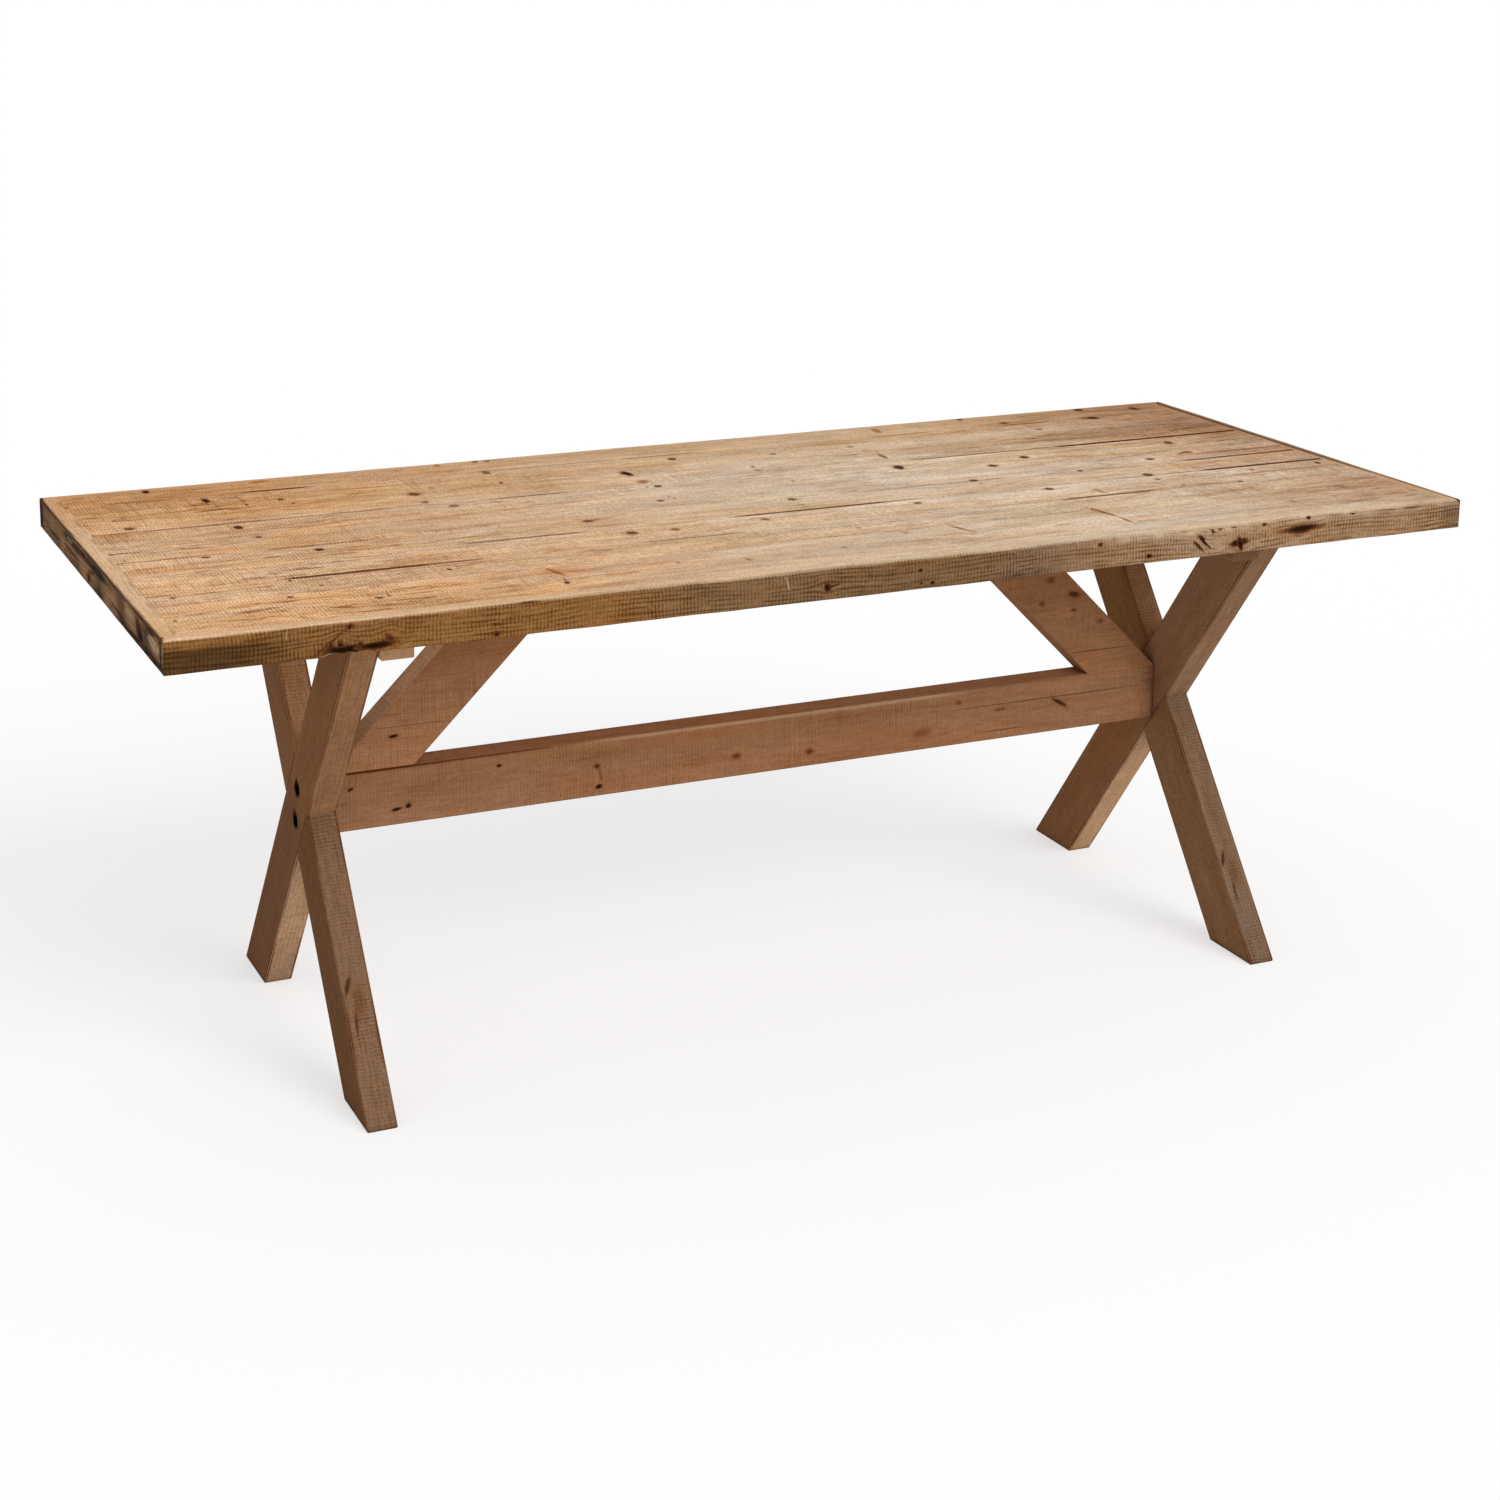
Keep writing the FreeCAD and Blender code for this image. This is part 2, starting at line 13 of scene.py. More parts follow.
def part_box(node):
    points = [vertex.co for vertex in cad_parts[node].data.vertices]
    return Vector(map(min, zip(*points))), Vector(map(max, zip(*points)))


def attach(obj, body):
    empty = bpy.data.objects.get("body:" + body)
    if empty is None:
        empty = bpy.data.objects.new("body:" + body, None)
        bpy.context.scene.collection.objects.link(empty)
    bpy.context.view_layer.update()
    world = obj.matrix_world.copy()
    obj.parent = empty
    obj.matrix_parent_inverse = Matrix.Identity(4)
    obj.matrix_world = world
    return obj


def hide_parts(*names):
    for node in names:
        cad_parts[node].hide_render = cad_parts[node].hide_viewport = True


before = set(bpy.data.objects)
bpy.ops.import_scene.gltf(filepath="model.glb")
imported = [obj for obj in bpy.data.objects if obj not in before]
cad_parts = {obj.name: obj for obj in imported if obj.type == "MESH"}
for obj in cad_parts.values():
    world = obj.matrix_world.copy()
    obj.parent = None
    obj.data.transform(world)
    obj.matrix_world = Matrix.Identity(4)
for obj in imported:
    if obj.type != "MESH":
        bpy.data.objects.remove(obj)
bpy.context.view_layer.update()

bl_info = {
    "name": "Sawbuck table",
    "version": (1, 0, 0),
    "blender": (4, 5, 0),
    "location": "3D View > Sidebar > Sawbuck",
    "description": "Builds the boards, fixings and stage of a sawbuck table",
    "category": "Add Mesh",
}

MM = 0.001
X_AXIS, Y_AXIS = (1, 0, 0), (0, 1, 0)
WHITE = (1, 1, 1, 1)
SAW_PITCH = 0.0053  # metres between the marks of the saw across a board
RIB_PITCH = 0.0066  # metres between the weathered ribs along the edge boards
FACING = 0.7  # cosine above which a face looks along an axis
TOP_SKIN = 0.004  # metres of depth that belong to the face of the top
MARK_MARGIN = 0.02  # metres past a board's edge from where a mark still reaches it
SEAM_MATCH = 0.002  # metres between a seam's line and the edge of its plank
SEAM_FADE = 45  # millimetres over which a stretch of seam fades in and out
TOP_CREASE = 40  # degrees at which the edges of the top's boards stay sharp
FRAME_FINENESS = 0.7  # a frame board's faces against a plank's
HIDDEN_STEP = 0.012  # metres across the faces of battens and cleats

PLANKS = [f"top_plank_{i}" for i in range(1, 8)]
SIDES = ("left", "right")
BATTENS = ("left_trestle", "left_brace", "middle", "right_brace", "right_trestle")
FRAME_TURNS = {"front": 0, "right": 90, "back": 180, "left": 270}  # degrees

LEG_SLOPE = math.tan(math.radians(36.7))  # the legs' lean from upright
CROSSING = 0.368  # height where the legs cross

# Radius of a plank's edges: at the frame, below, on top, and more on top at a dark seam
SHARP_EASE, UNDER_EASE, EDGE_EASE, WORN_EASE = 0.0002, 0.0006, 0.0007, 0.0016
TIGHT_GAP = 0.0001  # metres left on each side of a closed seam

# Seeds that set one board's grain off from another's; each kind counts on from its own
PLANK_SEED, FRAME_SEED, LEG_SEED = 100, 200, 300
STRETCHER_SEED, BRACE_SEED, UNDERSIDE_SEED = 401, 402, 420

# Spacing of the fixings, in millimetres.
BATTEN_STAGGER = 52
CLEAT_SPACING = 90
BRACE_UP_SPACING = 84
BRACE_BACK_SPACING = 30
LAG_SPACING = 50
BOLT_SPACING = 54
BOLT_STAGGER = 14
BOLT_SINK = 12
# Painted shade: the leg is darkened round each bolt's axis, in the bolt's hole.
BOLT_HOLE_SHADE = 0.0125  # metres from a bolt's axis within which its hole is dark

# Gains on the wood's tone: each plank, the top's back, each brace
PLANK_GAIN = (1.0, 0.98, 1.02, 0.99, 0.98, 0.97, 1.0)
BACK_GAIN = (0.92, 0.84, 0.74)
BRACE_GAIN = {"left": 1.0, "right": 0.84}
# Painted shade: the cleats of the right trestle are darkened as if in shadow.
RIGHT_CLEAT_SHADE = (0.42, 0.40, 0.38)
SCAR_DROP = {"left": 0.0, "right": 0.03}  # metres down the leg
# Each leg: gains on its sides below and above the crossing, and on its front face below and above.
# Beside the leg's own tone they hold painted light and shade: the sides and the front faces are
# painted as differently lit copies of one wood, and faces lying in shade are painted lighter.
LEG_TONE_AND_SHADING = {
    ("left", "a"): ((0.54, 0.49, 0.43), (0.72, 0.66, 0.60), (0.67, 0.74, 0.85), (2.0, 2.3, 2.7)),
    ("left", "b"): ((0.60, 0.53, 0.48), (0.76, 0.67, 0.54), (1.4, 1.7, 2.1), (0.98, 1.0, 1.06)),
    ("right", "a"): ((0.84, 0.84, 0.82), (0.84, 0.80, 0.62), (0.65, 0.80, 1.08), (1.2, 1.3, 1.4)),
    ("right", "b"): ((0.88, 0.80, 0.74), (1.0, 1.08, 1.15), (1.9, 2.3, 2.7), (0.96, 1.05, 1.2)),
}

CAMERA_PLACE = (-1.686979, -3.554424, 1.696633)
CAMERA_HEADING = 24.1363  # degrees, like the next two
CAMERA_DIP = 12.366646
CAMERA_ROLL = 0.463471
CAMERA_LENS = 63.218  # millimetres, like the sensor
CAMERA_SENSOR = 36.0
CAMERA_SHIFT = (0.0333, -0.2)
SUN_SIDE = (0.35, -0.85, 0.65)  # from the table towards the lamp
SUN_SPREAD = 40  # degrees
CAMERA_CLIP = (0.05, 200.0)
FLOOR_GREY = (0.8, 0.8, 0.8, 1)  # the floor as the table's light sees it
FLOOR_GLOW = 0.6  # share of the floor's white that takes no shadow

# ---- Marks on the top, in millimetres from its middle ----
# x, y, size along, size across, turn in degrees, darkness, rim
TOP_KNOTS = (
    (-853, 390, 10, 19, -8, 1.0, 0.5),
    (-985, 331, 7, 8, 0, 0.7, 0.3),
    (-782, 297, 11, 24, 0, 1.0, 0.6),
    (-732, 249, 6, 10, 0, 0.7, 0.2),
    (-675, 263, 9, 12, 0, 0.8, 0.3),
    (-663, 233, 5, 6, 0, 0.8, 0.1),
    (-925, 168, 15, 15, 0, 0.75, 0.8),
    (-937, 223, 5, 8, 0, 0.5, 0.1),
    (-778, 117, 12, 20, 0, 0.95, 0.7),
    (-765, 50, 9, 11, 0, 0.7, 0.4),
    (-862, -35, 13, 11, 0, 0.7, 0.5),
    (-705, -52, 13, 13, 0, 0.95, 0.4),
    (-971, -13, 6, 9, 0, 0.3, 0.3),
    (-788, -199, 5, 8, 0, 0.8, 0.1),
    (-755, -237, 5, 6, 0, 0.8, 0.1),
    (-570, -223, 7, 9, 20, 0.9, 0.1),
    (-809, -279, 7, 9, 0, 0.8, 0.2),
    (-953, -225, 7, 9, 0, 0.5, 0.6),
    (-975, -333, 6, 9, 0, 0.6, 0.2),
    (-702, -326, 12, 10, 0, 0.8, 0.2),
    (-687, -320, 6, 12, 0, 0.6, 0.1),
    (-835, -340, 8, 8, 0, 0.3, 0.3),
    (-820, -378, 9, 9, 0, 0.3, 0.3),
    (-477, 220, 16, 20, 0, 0.7, 1.0),
    (-477, 165, 10, 14, -20, 0.6, 0.5),
    (-445, 125, 13, 14, 0, 0.6, 0.5),
    (-293, -41, 15, 14, 0, 0.75, 0.5),
    (-260, -130, 15, 17, 0, 0.75, 0.8),
    (-193, -135, 12, 14, 0, 0.65, 0.5),
    (-45, -129, 12, 15, 0, 0.6, 0.6),
    (-265, -310, 8, 10, 0, 0.35, 0.2),
    (-167, -331, 8, 12, 0, 0.4, 0.2),
    (-13, -323, 8, 9, 0, 0.3, 0.2),
    (-325, 320, 12, 22, 0, 0.7, 0.4),
    (-327, 243, 6, 13, -15, 0.7, 0.2),
    (-315, 403, 9, 14, 0, 0.75, 0.3),
    (-295, 400, 9, 10, 0, 0.6, 0.2),
    (-380, 400, 8, 12, 0, 0.5, 0.3),
    (-120, 229, 15, 29, 6, 1.0, 0.6),
    (-118, 167, 17, 14, 30, 0.45, 1.0),
    (-108, 129, 12, 14, -15, 0.85, 0.3),
    (-126, 131, 4, 6, 0, 0.8, 0.1),
    (-143, 39, 12, 12, 0, 0.7, 0.3),
    (-120, 60, 4, 8, 0, 0.5, 0.1),
    (-116, 44, 4, 5, 0, 0.6, 0.1),
    (-10, 300, 13, 17, -20, 0.8, 0.4),
    (137, 420, 12, 20, -15, 0.8, 0.4),
    (407, 428, 20, 16, 0, 0.95, 0.4),
    (405, 372, 10, 26, -10, 0.35, 0.9),
    (587, 411, 14, 24, -10, 1.0, 0.6),
    (643, 347, 12, 12, 0, 0.85, 0.4),
    (827, 398, 16, 21, -15, 0.85, 0.6),
    (927, 373, 13, 24, 0, 0.8, 0.5),
    (813, 327, 22, 17, -15, 0.95, 0.6),
    (797, 330, 12, 10, 0, 0.6, 0.5),
    (160, 273, 9, 11, -20, 0.6, 0.2),
    (303, 273, 9, 10, -20, 0.6, 0.2),
    (673, 278, 10, 12, -20, 0.6, 0.3),
    (88, 199, 6, 14, -10, 0.5, 0.4),
    (85, 171, 10, 9, 0, 0.5, 0.4),
    (320, 190, 7, 34, -6, 0.5, 0.9),
    (305, 105, 15, 26, -14, 0.95, 0.6),
    (533, 95, 15, 17, -14, 0.9, 0.5),
    (453, 59, 15, 16, 0, 0.85, 0.5),
    (820, 102, 13, 20, -14, 0.8, 0.6),
    (104, 82, 7, 10, -20, 0.4, 0.2),
    (720, 5, 13, 14, -14, 0.8, 0.4),
    (805, 27, 20, 12, 10, 0.6, 0.9),
    (788, 20, 8, 8, 0, 0.6, 0.5),
    (565, -27, 9, 12, -14, 0.8, 0.2),
    (48, -29, 13, 16, 0, 0.75, 0.4),
    (45, -67, 12, 7, -20, 0.4, 0.3),
    (370, -23, 13, 13, -14, 0.75, 0.4),
    (370, -46, 7, 8, 0, 0.4, 0.2),
    (651, -92, 15, 18, 0, 0.8, 0.6),
    (648, -125, 9, 11, 0, 0.65, 0.3),
    (960, -122, 9, 14, -20, 0.85, 0.3),
    (829, -124, 8, 10, -20, 0.6, 0.4),
    (215, -123, 12, 11, 0, 0.8, 0.5),
    (451, -118, 14, 16, -14, 0.8, 0.5),
    (762, -187, 12, 7, 0, 0.7, 0.4),
    (662, -177, 8, 7, 0, 0.6, 0.2),
    (59, -229, 7, 7, 0, 0.5, 0.2),
    (755, -330, 7, 14, 0, 0.35, 0.5),
    (110, -279, 9, 9, 0, 0.4, 0.3),
)
TOP_STREAKS = (
    (-441, -291, 5, 36, 14, 0.45, 0.9),
    (-446, -350, 7, 12, 0, 0.9, 0.1),
    (-443, -333, 3, 20, -4, 0.5, 0.3),
    (196, -287, 5, 42, 18, 0.6, 0.8),
    (446, -281, 6, 52, 12, 0.6, 0.9),
    (452, -335, 5, 28, 0, 0.5, 0.7),
    (-780, 235, 60, 7, 4, 0.6, 0.5),
    (-675, 393, 22, 9, 10, 0.25, 1.0),
    (517, -160, 6, 20, 8, 0.25, 0.8),
    (-683, 197, 22, 4, -6, 0.45, 0.3),
    (882, -143, 190, 7, 0, 0.25, 0.6),
    (-288, 403, 40, 3, -20, 0.5, 0.2),
    (890, 10, 160, 9, 0, 0.32, 0.6),
)
# Lines between planks: y of the line, then x from, x to, darkness, paleness
SEAM_STRETCHES = (
    (-262, -990, -900, 0.35, 0.0),
    (-262, -800, -700, 0.4, 0.1),
    (-262, -120, 430, 0.26, 0.0),
    (-188, -850, -775, 0.25, 0.2),
    (-188, -775, -600, 0.95, 0.3),
    (-188, -600, -530, 0.75, 0.3),
    (-188, -530, -440, 0.15, 0.3),
    (-188, -400, -270, 0.25, 0.2),
    (-188, -250, -130, 0.6, 0.2),
    (-188, 310, 420, 0.25, 0.0),
    (-188, 450, 580, 0.8, 0.0),
    (-188, 580, 740, 0.35, 0.0),
    (-98, -990, -800, 0.25, 0.8),
    (-98, -490, -340, 0.7, 0.2),
    (-98, -300, -60, 0.2, 0.1),
    (-98, -60, 30, 0.85, 0.3),
    (-98, 10, 160, 0.9, 0.3),
    (-98, 160, 220, 0.6, 0.2),
    (-98, 220, 400, 0.28, 0.1),
    (-98, 400, 560, 0.3, 0.1),
    (-98, 600, 760, 0.5, 0.1),
    (-98, 770, 985, 0.95, 0.0),
    (-25, -990, -860, 0.5, 0.2),
    (-25, -750, -630, 0.6, 0.2),
    (-25, -300, -250, 0.3, 0.0),
    (-25, 180, 410, 0.4, 0.0),
    (-25, 520, 620, 0.4, 0.0),
    (-25, 780, 985, 0.85, 0.0),
    (145, -950, -740, 0.65, 0.2),
    (145, -740, -560, 0.5, 0.1),
    (145, -360, -270, 0.7, 0.0),
    (145, 370, 600, 0.65, 0.0),
    (145, 640, 985, 1.0, 0.0),
    (330, -910, -860, 0.6, 0.0),
    (330, -700, -630, 0.95, 0.0),
    (330, -550, -480, 0.12, 0.0),
    (330, -330, -130, 0.5, 0.6),
    (330, -60, 30, 0.6, 0.0),
    (330, 390, 460, 0.6, 0.5),
    (330, 640, 700, 0.7, 0.0),
    (330, 700, 985, 0.2, 0.0),
)
# Patches of tone on the top: x, y, reach along, reach across, red, green, blue gain
TOP_PATCHES = (
    (-860, 350, 260, 90, 0.90, 0.84, 0.76),
    (-700, 240, 300, 60, 0.97, 0.92, 0.86),
    (-150, 400, 700, 40, 0.93, 0.88, 0.82),
    (-820, 130, 200, 30, 0.98, 0.95, 0.88),
    (-480, 190, 120, 40, 1.03, 1.06, 1.1),
    (700, 380, 260, 60, 0.88, 0.83, 0.77),
    (960, 400, 110, 90, 0.82, 0.77, 0.74),
    (560, 210, 330, 32, 0.90, 0.83, 0.76),
    (850, 205, 240, 50, 0.78, 0.70, 0.64),
    (950, 235, 90, 60, 0.84, 0.80, 0.80),
    (960, 130, 60, 50, 0.85, 0.8, 0.78),
    (890, 0, 150, 30, 0.9, 0.83, 0.79),
    (900, -60, 130, 30, 0.95, 0.9, 0.87),
    (860, -300, 190, 80, 0.93, 0.84, 0.76),
    (-250, -125, 160, 22, 0.97, 0.91, 0.8),
    (-250, -210, 170, 16, 0.97, 0.93, 0.8),
    (-880, -180, 120, 270, 1.10, 1.13, 1.16),
    (-870, 235, 90, 40, 1.10, 1.14, 1.18),
    (-700, -143, 60, 35, 1.10, 1.14, 1.18),
    (-690, 360, 60, 30, 1.12, 1.12, 1.12),
    (-490, -70, 110, 60, 1.0, 1.08, 1.2),
    (-490, 235, 70, 40, 1.05, 1.09, 1.14),
    (-200, 245, 240, 70, 0.97, 0.92, 0.87),
    (-150, 360, 300, 40, 0.98, 0.93, 0.87),
    (25, 60, 110, 40, 0.94, 0.92, 0.9),
    (560, -225, 80, 40, 1.12, 1.10, 1.09),
    (650, 350, 220, 50, 0.98, 0.93, 0.87),
    (775, -110, 80, 60, 1.08, 1.10, 1.15),
    (930, 60, 60, 40, 1.0, 1.08, 1.2),
    (940, -340, 60, 110, 0.92, 0.89, 0.88),
    (-430, -300, 40, 40, 1.0, 0.9, 0.83),
    (150, -200, 90, 50, 0.98, 0.93, 0.92),
    (250, 60, 260, 60, 1.02, 1.03, 1.04),
    (240, -150, 180, 30, 1.02, 1.03, 1.03),
)

# ---- Marks on the front and left boards, in millimetres ----
# Along the board, height, size along, size up, turn in degrees, darkness (pale where
# it is below 0), rim
FRONT_MARKS = (
    # The first two rows are painted shade: the dark hole of the chewed hollow and the shadow along
    # its lower part.
    (-782, 725, 9, 18, 0, 1.0, 0.1),
    (-772, 719, 70, 13, -3, 1.0, 0.2),
    (-733, 722, 52, 10, 5, 1.0, 0.3),
    (-715, 729, 9, 19, 35, 0.7, 0.5),
    (-797, 731, 56, 4, 37, 0.55, 0.4),
    (-769, 751, 8, 6, 60, 0.8, 0.9),
    (-852, 748, 2, 13, -5, -0.2, 0),
    (-778, 714, 42, 4, 0, -0.7, 0),
    (-757, 717, 9, 5, 0, -0.8, 0),
    (-570, 719, 8, 6, 0, 0.9, 0.9),
    (-572, 732, 6, 4, 0, 0.6, 0.3),
    (-524, 757, 26, 3, 0, 0.6, 0.3),
    (-146, 742, 2, 19, 16, -0.3, 0),
    (-85, 731, 10, 14, 0, 1.0, 0.3),
    (-75, 733, 18, 3, 12, 0.8, 0.2),
    (61, 741, 6, 5, 0, 1.0, 0.2),
    (81, 721, 7, 5, 0, 1.0, 0.2),
    (63, 722, 5, 4, 0, 0.8, 0.1),
    (357, 749, 8, 6, 0, 0.9, 0.4),
    (442, 724, 9, 6, 0, 1.0, 0.3),
    (538, 737, 31, 7, -42, 1.0, 0.3),
    (528, 730, 24, 5, -43, 0.9, 0.2),
    (546, 733, 18, 4, -42, -0.3, 0),
    (553, 750, 19, 5, -64, 0.8, 0.4),
    (590, 755, 12, 5, 0, 0.95, 0.2),
    (583, 752, 5, 5, 0, 0.9, 0.1),
    (566, 754, 8, 6, 10, 0.8, 0.3),
    (600, 729, 34, 11, 8, 1.0, 0.4),
    (602, 727, 10, 22, 14, 1.0, 0.2),
    (645, 753, 8, 6, 0, 0.95, 0.2),
    (660, 755, 9, 6, 0, -1.0, 0),
    (725, 755, 8, 5, 0, 0.95, 0.1),
    (807, 755, 9, 5, 0, 0.95, 0.1),
    (714, 740, 74, 9, 2, 0.8, 0.3),
    (712, 739, 44, 13, 0, 1.0, 0.5),
    (922, 755, 38, 4, 2, 0.9, 0.2),
    (878, 755, 22, 4, 0, 0.7, 0.1),
)
LEFT_MARKS = (
    (-286, 729, 62, 28, 40, 1.0, 0.4),
    (-318, 719, 60, 14, 0, 0.95, 0.3),
    (-345, 753, 46, 8, 0, 0.85, 0.2),
    (48, 725, 20, 14, 0, 0.95, 1.0),
    (84, 749, 46, 9, 0, 0.95, 0.3),
    (25, 738, 40, 5, -6, 0.8, 0.2),
    (-401, 735, 10, 54, 0, 1.0, 0.0),
    (-362, 740, 60, 15, 4, -0.26, 0),
    (-225, 744, 50, 8, 0, -0.12, 0),
    (-150, 727, 80, 6, 2, 0.7, 0.2),
    (170, 733, 90, 5, 0, 0.7, 0.2),
    (180, 748, 40, 7, 0, -0.15, 0),
    (300, 728, 70, 7, 0, 0.8, 0.2),
    (402, 738, 26, 54, 0, 0.9, 0.2),
)
RIGHT_MARKS = (
    (-392, 738, 30, 40, 0, 0.7, 0.4),
    (-240, 722, 70, 6, 3, 0.7, 0.3),
    (-60, 735, 22, 16, 0, 0.9, 0.9),
    (110, 745, 60, 6, -2, 0.6, 0.2),
    (255, 728, 16, 12, 0, 0.9, 0.8),
    (360, 740, 40, 9, 0, 0.8, 0.2),
)
BACK_MARKS = (
    (-880, 728, 18, 13, 0, 0.95, 0.9),
    (-610, 745, 70, 6, 2, 0.6, 0.4),
    (-415, 724, 14, 11, 0, 0.9, 0.8),
    (-190, 738, 8, 6, 0, 0.9, 0.3),
    (20, 730, 24, 5, 30, 0.9, 0.3),
    (290, 742, 17, 12, 0, 0.95, 0.9),
    (480, 722, 60, 5, 0, 0.8, 0.2),
    (700, 734, 7, 6, 0, 0.9, 0.3),
    (840, 726, 19, 14, 0, 0.9, 1.0),
)
SIDE_MARKS = {
    "front": FRONT_MARKS,
    "left": LEFT_MARKS,
    "right": RIGHT_MARKS,
    "back": BACK_MARKS,
}

# ---- Marks on the front faces of the stretcher and braces: x, height, the same ----
RAIL_MARKS = (
    (-429, 393, 8, 5, 0, 0.95, 0.4),
    (-272, 371, 9, 7, -20, 0.75, 0.7),
    (-266, 355, 4, 22, 12, 0.35, 0.2),
    (-269, 338, 10, 7, 10, 1.0, 0.4),
    (-39, 356, 12, 8, 0, 0.6, 0.8),
    (-589, 347, 15, 5, 8, 1.0, 0.4),
    (-571, 350, 8, 7, 10, 0.95, 0.4),
    (-659, 387, 9, 5, 20, 0.9, 0.3),
    (356, 394, 9, 6, 0, 0.4, 0.5),
    (432, 373, 20, 5, 0, 0.5, 0.4),
    (545, 371, 30, 6, -32, 0.85, 0.6),
    (518, 382, 325, 2, 0, 0.55, 0.0),
    (289, 351, 24, 9, 8, 0.25, 0.8),
    (88, 347, 12, 9, 0, 0.6, 0.7),
    (441, 338, 66, 2, 0, 0.6, 0.1),
)
BRACE_MARKS = {
    "left": (
        (-592, 460, 14, 5, 4, 1.0, 0.6),
        (-566, 474, 100, 2, 0, 0.4, 0.1),
    ),
    "right": (
        (520, 581, 10, 9, 0, 0.4, 0.8),
        (565, 553, 18, 9, -18, 0.7, 0.8),
        (566, 526, 10, 5, 0, 0.5, 0.6),
        (505, 543, 9, 7, 0, 0.4, 0.7),
        (617, 502, 10, 7, 0, 0.45, 0.7),
        (614, 453, 116, 2, 0, 0.6, 0.1),
    ),
}
# The scar on a leg's front face: distance up from the crossing, across the face, the
# same. Both front legs carry one.
LEG_SCAR = (
    (-300, -14, 30, 7, 8, -0.26, 0),
    (-286, -11, 26, 6, 22, 0.75, 0.4),
    (-322, -17, 26, 4, -8, -0.34, 0),
    (-268, -16, 22, 3, 6, -0.3, 0),
    (-340, -8, 34, 5, 5, 0.6, 0.3),
    (-310, 1, 34, 12, 0, 0.14, 0.6),
)


# ---- Numbers over a mesh ----


def linear(red, green, blue):
    """Linear colour from display values of 0 to 255."""
    display = np.array((red, green, blue)) / 255
    low, high = display / 12.92, ((display + 0.055) / 1.055) ** 2.4
    return np.where(display <= 0.04045, low, high)


def blend(first, second, share):
    """From first to second as share goes from 0 to 1, one row for each share."""
    first, second = np.array(first), np.array(second)
    return first + (second - first) * share[:, None]


def smooth(value, low, high):
    """0 below low, 1 above high and a soft step between them."""
    t = np.clip((value - low) / (high - low), 0, 1)
    return t * t * (3 - 2 * t)


def within(value, low, high, soft):
    """1 between low and high, fading out over a soft margin outside them."""
    return smooth(value, low - soft, low) * (1 - smooth(value, high, high + soft))


def drift(value, seed, period):
    """Slow wander between about -1 and 1 along a line."""
    draw = np.random.default_rng(seed)
    total = np.zeros_like(value, dtype=float)
    for share in (0.5, 0.3, 0.2):
        length = period * share * 2 * draw.uniform(0.8, 1.2)
        total += share * np.sin(2 * np.pi * (value / length + draw.uniform()))
    return total


def face_outward(points, faces):
    """The faces, turned round if the shell is inside out."""
    first, second, third, last = (points[faces[:, i]] for i in range(4))
    volume = np.einsum("ij,ij->i", first, np.cross(second, third)).sum()
    volume += np.einsum("ij,ij->i", first, np.cross(third, last)).sum()
    return faces if volume > 0 else faces[:, ::-1]


def loft(rings):
    """Points and faces of a closed board through one ring of points per station."""
    stations, count = rings.shape[:2]
    points = rings.reshape(-1, 3)
    start = np.arange(stations - 1)[:, None] * count + np.arange(count)[None, :]
    step = np.roll(np.arange(count), -1)[None, :] - np.arange(count)[None, :]
    quads = np.stack([start, start + step, start + step + count, start + count], -1)
    quads = face_outward(points, quads.reshape(-1, 4))
    faces = [tuple(face) for face in quads.tolist()]
    turned = quads[0][1] < quads[0][0] or quads[0][1] - quads[0][0] > 1
    first = list(range(count))
    last = [(stations - 1) * count + i for i in first]
    faces.append(tuple(first if turned else first[::-1]))
    faces.append(tuple(last[::-1] if turned else last))
    return points, faces


def section(low, high, bottom, top, radii, counts):
    """Ring of a board's section at every station, with four rounded corners.

    The sizes are one number per station. Radii and counts go round from the bottom
    low corner: bottom, high side, top, low side.
    """
    corners = (
        (low, bottom, 1, 1, 180),
        (high, bottom, -1, 1, 270),
        (high, top, -1, -1, 0),
        (low, top, 1, -1, 90),
    )
    arcs = []
    for (a, b, inward_a, inward_b, start), radius in zip(corners, radii):
        radius = np.broadcast_to(radius, (len(low),))
        turn = np.radians(start + np.array((0, 30, 60, 90)))
        centre_a = (a + inward_a * radius)[:, None]
        centre_b = (b + inward_b * radius)[:, None]
        arcs.append((
            centre_a + radius[:, None] * np.cos(turn),
            centre_b + radius[:, None] * np.sin(turn),
        ))
    rings = []
    for axis in range(2):
        ring = []
        for i, count in enumerate(counts):
            here, there = arcs[i][axis], arcs[(i + 1) % 4][axis]
            share = np.linspace(0, 1, count + 1)[1:-1][None, :]
            ring += [here, here[:, -1:] + share * (there[:, :1] - here[:, -1:])]
        rings.append(np.concatenate(ring, 1))
    return rings


